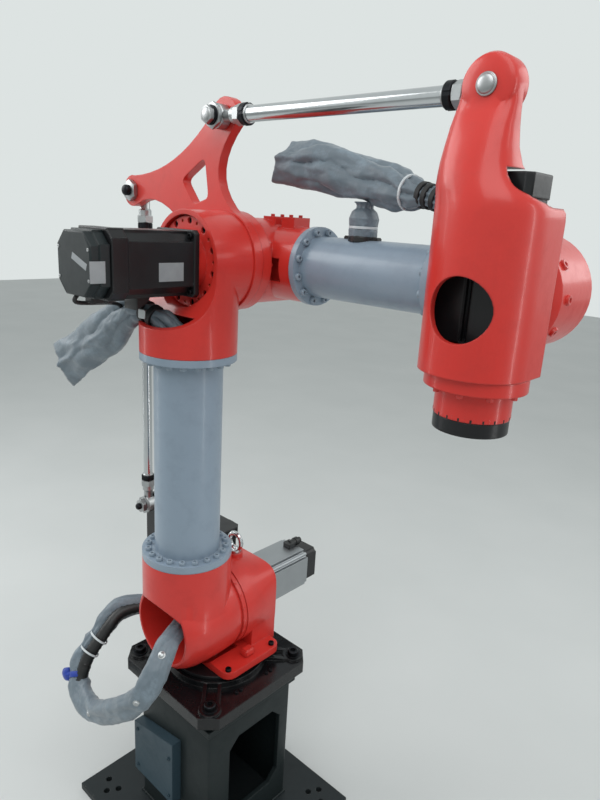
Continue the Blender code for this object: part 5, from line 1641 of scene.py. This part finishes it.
class MakeStage(bpy.types.Operator):
    """Pale floor, soft lamps and the camera at the photograph's angle"""

    bl_idname = "arm.make_stage"
    bl_label = "Make the stage"

    def execute(self, context):
        scene = context.scene
        self.floor(scene)
        self.lamps(scene)
        self.sky(scene)
        self.camera(scene)
        scene.view_settings.view_transform = "Standard"
        return {"FINISHED"}

    def floor(self, scene):
        """Large floor of trowelled concrete, matt and faintly uneven."""
        mesh = bpy.data.meshes.new("stage_floor")
        reach = 12
        mesh.from_pydata(
            [(-reach, -reach, 0), (reach, -reach, 0), (reach, reach, 0), (-reach, reach, 0)],
            [], [(0, 1, 2, 3)],
        )
        floor = bpy.data.objects.new("stage_floor", mesh)
        scene.collection.objects.link(floor)
        tree, shader, place = new_material("Pale floor")
        uneven = add_node(tree, "ShaderNodeTexNoise", patches_of(place, 0.6), "Fac")
        tone = add_node(tree, "ShaderNodeMix", {
            "Factor": uneven, FIRST: linear("C9CDCC"), SECOND: linear("D6D9D8"),
        }, MIXED, data_type="RGBA")
        feed(tree, shader, {"Base Color": tone, "Roughness": 0.6})
        mesh.materials.append(FINISHES["Pale floor"])

    def lamps(self, scene):
        """Soft lamps on three sides and tall strips that glint on the rounds."""
        target = Vector((0.1, 0, 1.0))
        # Name, place, watts, width and height in metres.
        for name, place, power, width, height in (
            ("Window light", (-2.6, -1.6, 3.0), 56, 2.2, 2.2),
            ("Ceiling light", (1.2, -1.4, 3.6), 48, 2.6, 2.6),
            ("Rim light", (1.8, 2.4, 2.6), 20, 1.8, 1.8),
            ("Right strip", (2.3, 0.5, 1.2), 7, 0.14, 2.4),
            ("Left strip", (-2.4, -1.1, 1.2), 4, 0.14, 2.4),
        ):
            lamp = bpy.data.lights.new(name, "AREA")
            lamp.energy = power
            lamp.shape = "RECTANGLE"
            lamp.size = width
            lamp.size_y = height
            thing = bpy.data.objects.new(name, lamp)
            thing.location = place
            thing.rotation_euler = (target - Vector(place)).to_track_quat("-Z", "Y").to_euler()
            scene.collection.objects.link(thing)

    def sky(self, scene):
        """Pale room that is seen and mirrored brighter than it lights."""
        world = bpy.data.worlds.new("Pale room")
        world.use_nodes = True
        tree = world.node_tree
        lit = tree.nodes["Background"]
        feed(tree, lit, {"Color": linear("E3E8E8"), "Strength": 0.62})
        seen = add_node(
            tree, "ShaderNodeBackground", {"Color": linear("DDE3E2"), "Strength": 1.0}, 0
        )
        rays = add_node(tree, "ShaderNodeLightPath").outputs
        direct = rays["Is Camera Ray"]
        for kind in ("Is Glossy Ray", "Is Transmission Ray"):
            direct = add_node(
                tree, "ShaderNodeMath", {0: direct, 1: rays[kind]}, 0, operation="MAXIMUM"
            )
        mix = add_node(tree, "ShaderNodeMixShader", {0: direct, 1: lit.outputs[0], 2: seen}, 0)
        tree.links.new(mix, tree.nodes["World Output"].inputs["Surface"])
        scene.world = world

    def camera(self, scene):
        """Camera fitted to the photograph."""
        place = Vector((1.0456, -0.9073, 1.5376))
        yaw, pitch, roll = (math.radians(angle) for angle in (41.84, 16.04, 3.29))
        focal_pixels = 635.5
        ahead = Vector((
            -math.sin(yaw) * math.cos(pitch), math.cos(yaw) * math.cos(pitch), -math.sin(pitch),
        ))
        right = Vector((math.cos(yaw), math.sin(yaw), 0))
        down = ahead.cross(right)
        tilted_right = right * math.cos(roll) - down * math.sin(roll)
        tilted_down = down * math.cos(roll) + right * math.sin(roll)
        axes = Matrix((tilted_right, -tilted_down, -ahead)).transposed()
        lens = bpy.data.cameras.new("Camera")
        lens.sensor_width = SENSOR
        lens.lens = SENSOR * focal_pixels / PIXELS_HIGH
        camera = bpy.data.objects.new("Camera", lens)
        camera.matrix_world = Matrix.Translation(place) @ axes.to_4x4()
        scene.collection.objects.link(camera)
        scene.camera = camera


class ArmPanel(bpy.types.Panel):
    """Sidebar panel with the arm's sizes, colours and makers"""

    bl_idname = "VIEW3D_PT_arm"
    bl_label = "Robot arm"
    bl_space_type = "VIEW_3D"
    bl_region_type = "UI"
    bl_category = "Robot arm"

    def draw(self, context):
        for group in (context.scene.arm_sizes, context.scene.arm_colours):
            column = self.layout.column(align=True)
            for name in group.__annotations__:
                column.prop(group, name)
        column = self.layout.column(align=True)
        for maker in MAKERS:
            column.operator(maker.bl_idname)


MAKERS = (
    PaintFrame, MakePedestal, MakeBaseCasting, MakeTurret, MakeLowerArm, MakeMotors,
    MakePins, MakeRods, MakeForearm, MakeHead, MakeSleeves, MakeStage,
)
CLASSES = (ArmColours, ArmSizes) + MAKERS + (ArmPanel,)


def register():
    """Register the classes and the settings."""
    for kind in CLASSES:
        bpy.utils.register_class(kind)
    bpy.types.Scene.arm_colours = bpy.props.PointerProperty(type=ArmColours)
    bpy.types.Scene.arm_sizes = bpy.props.PointerProperty(type=ArmSizes)


def unregister():
    """Take the settings and the classes away again."""
    del bpy.types.Scene.arm_colours
    del bpy.types.Scene.arm_sizes
    for kind in reversed(CLASSES):
        bpy.utils.unregister_class(kind)


def main():
    register()
    for maker in MAKERS:
        family, name = maker.bl_idname.split(".")
        getattr(getattr(bpy.ops, family), name)()


if __name__ == "__main__":
    main()
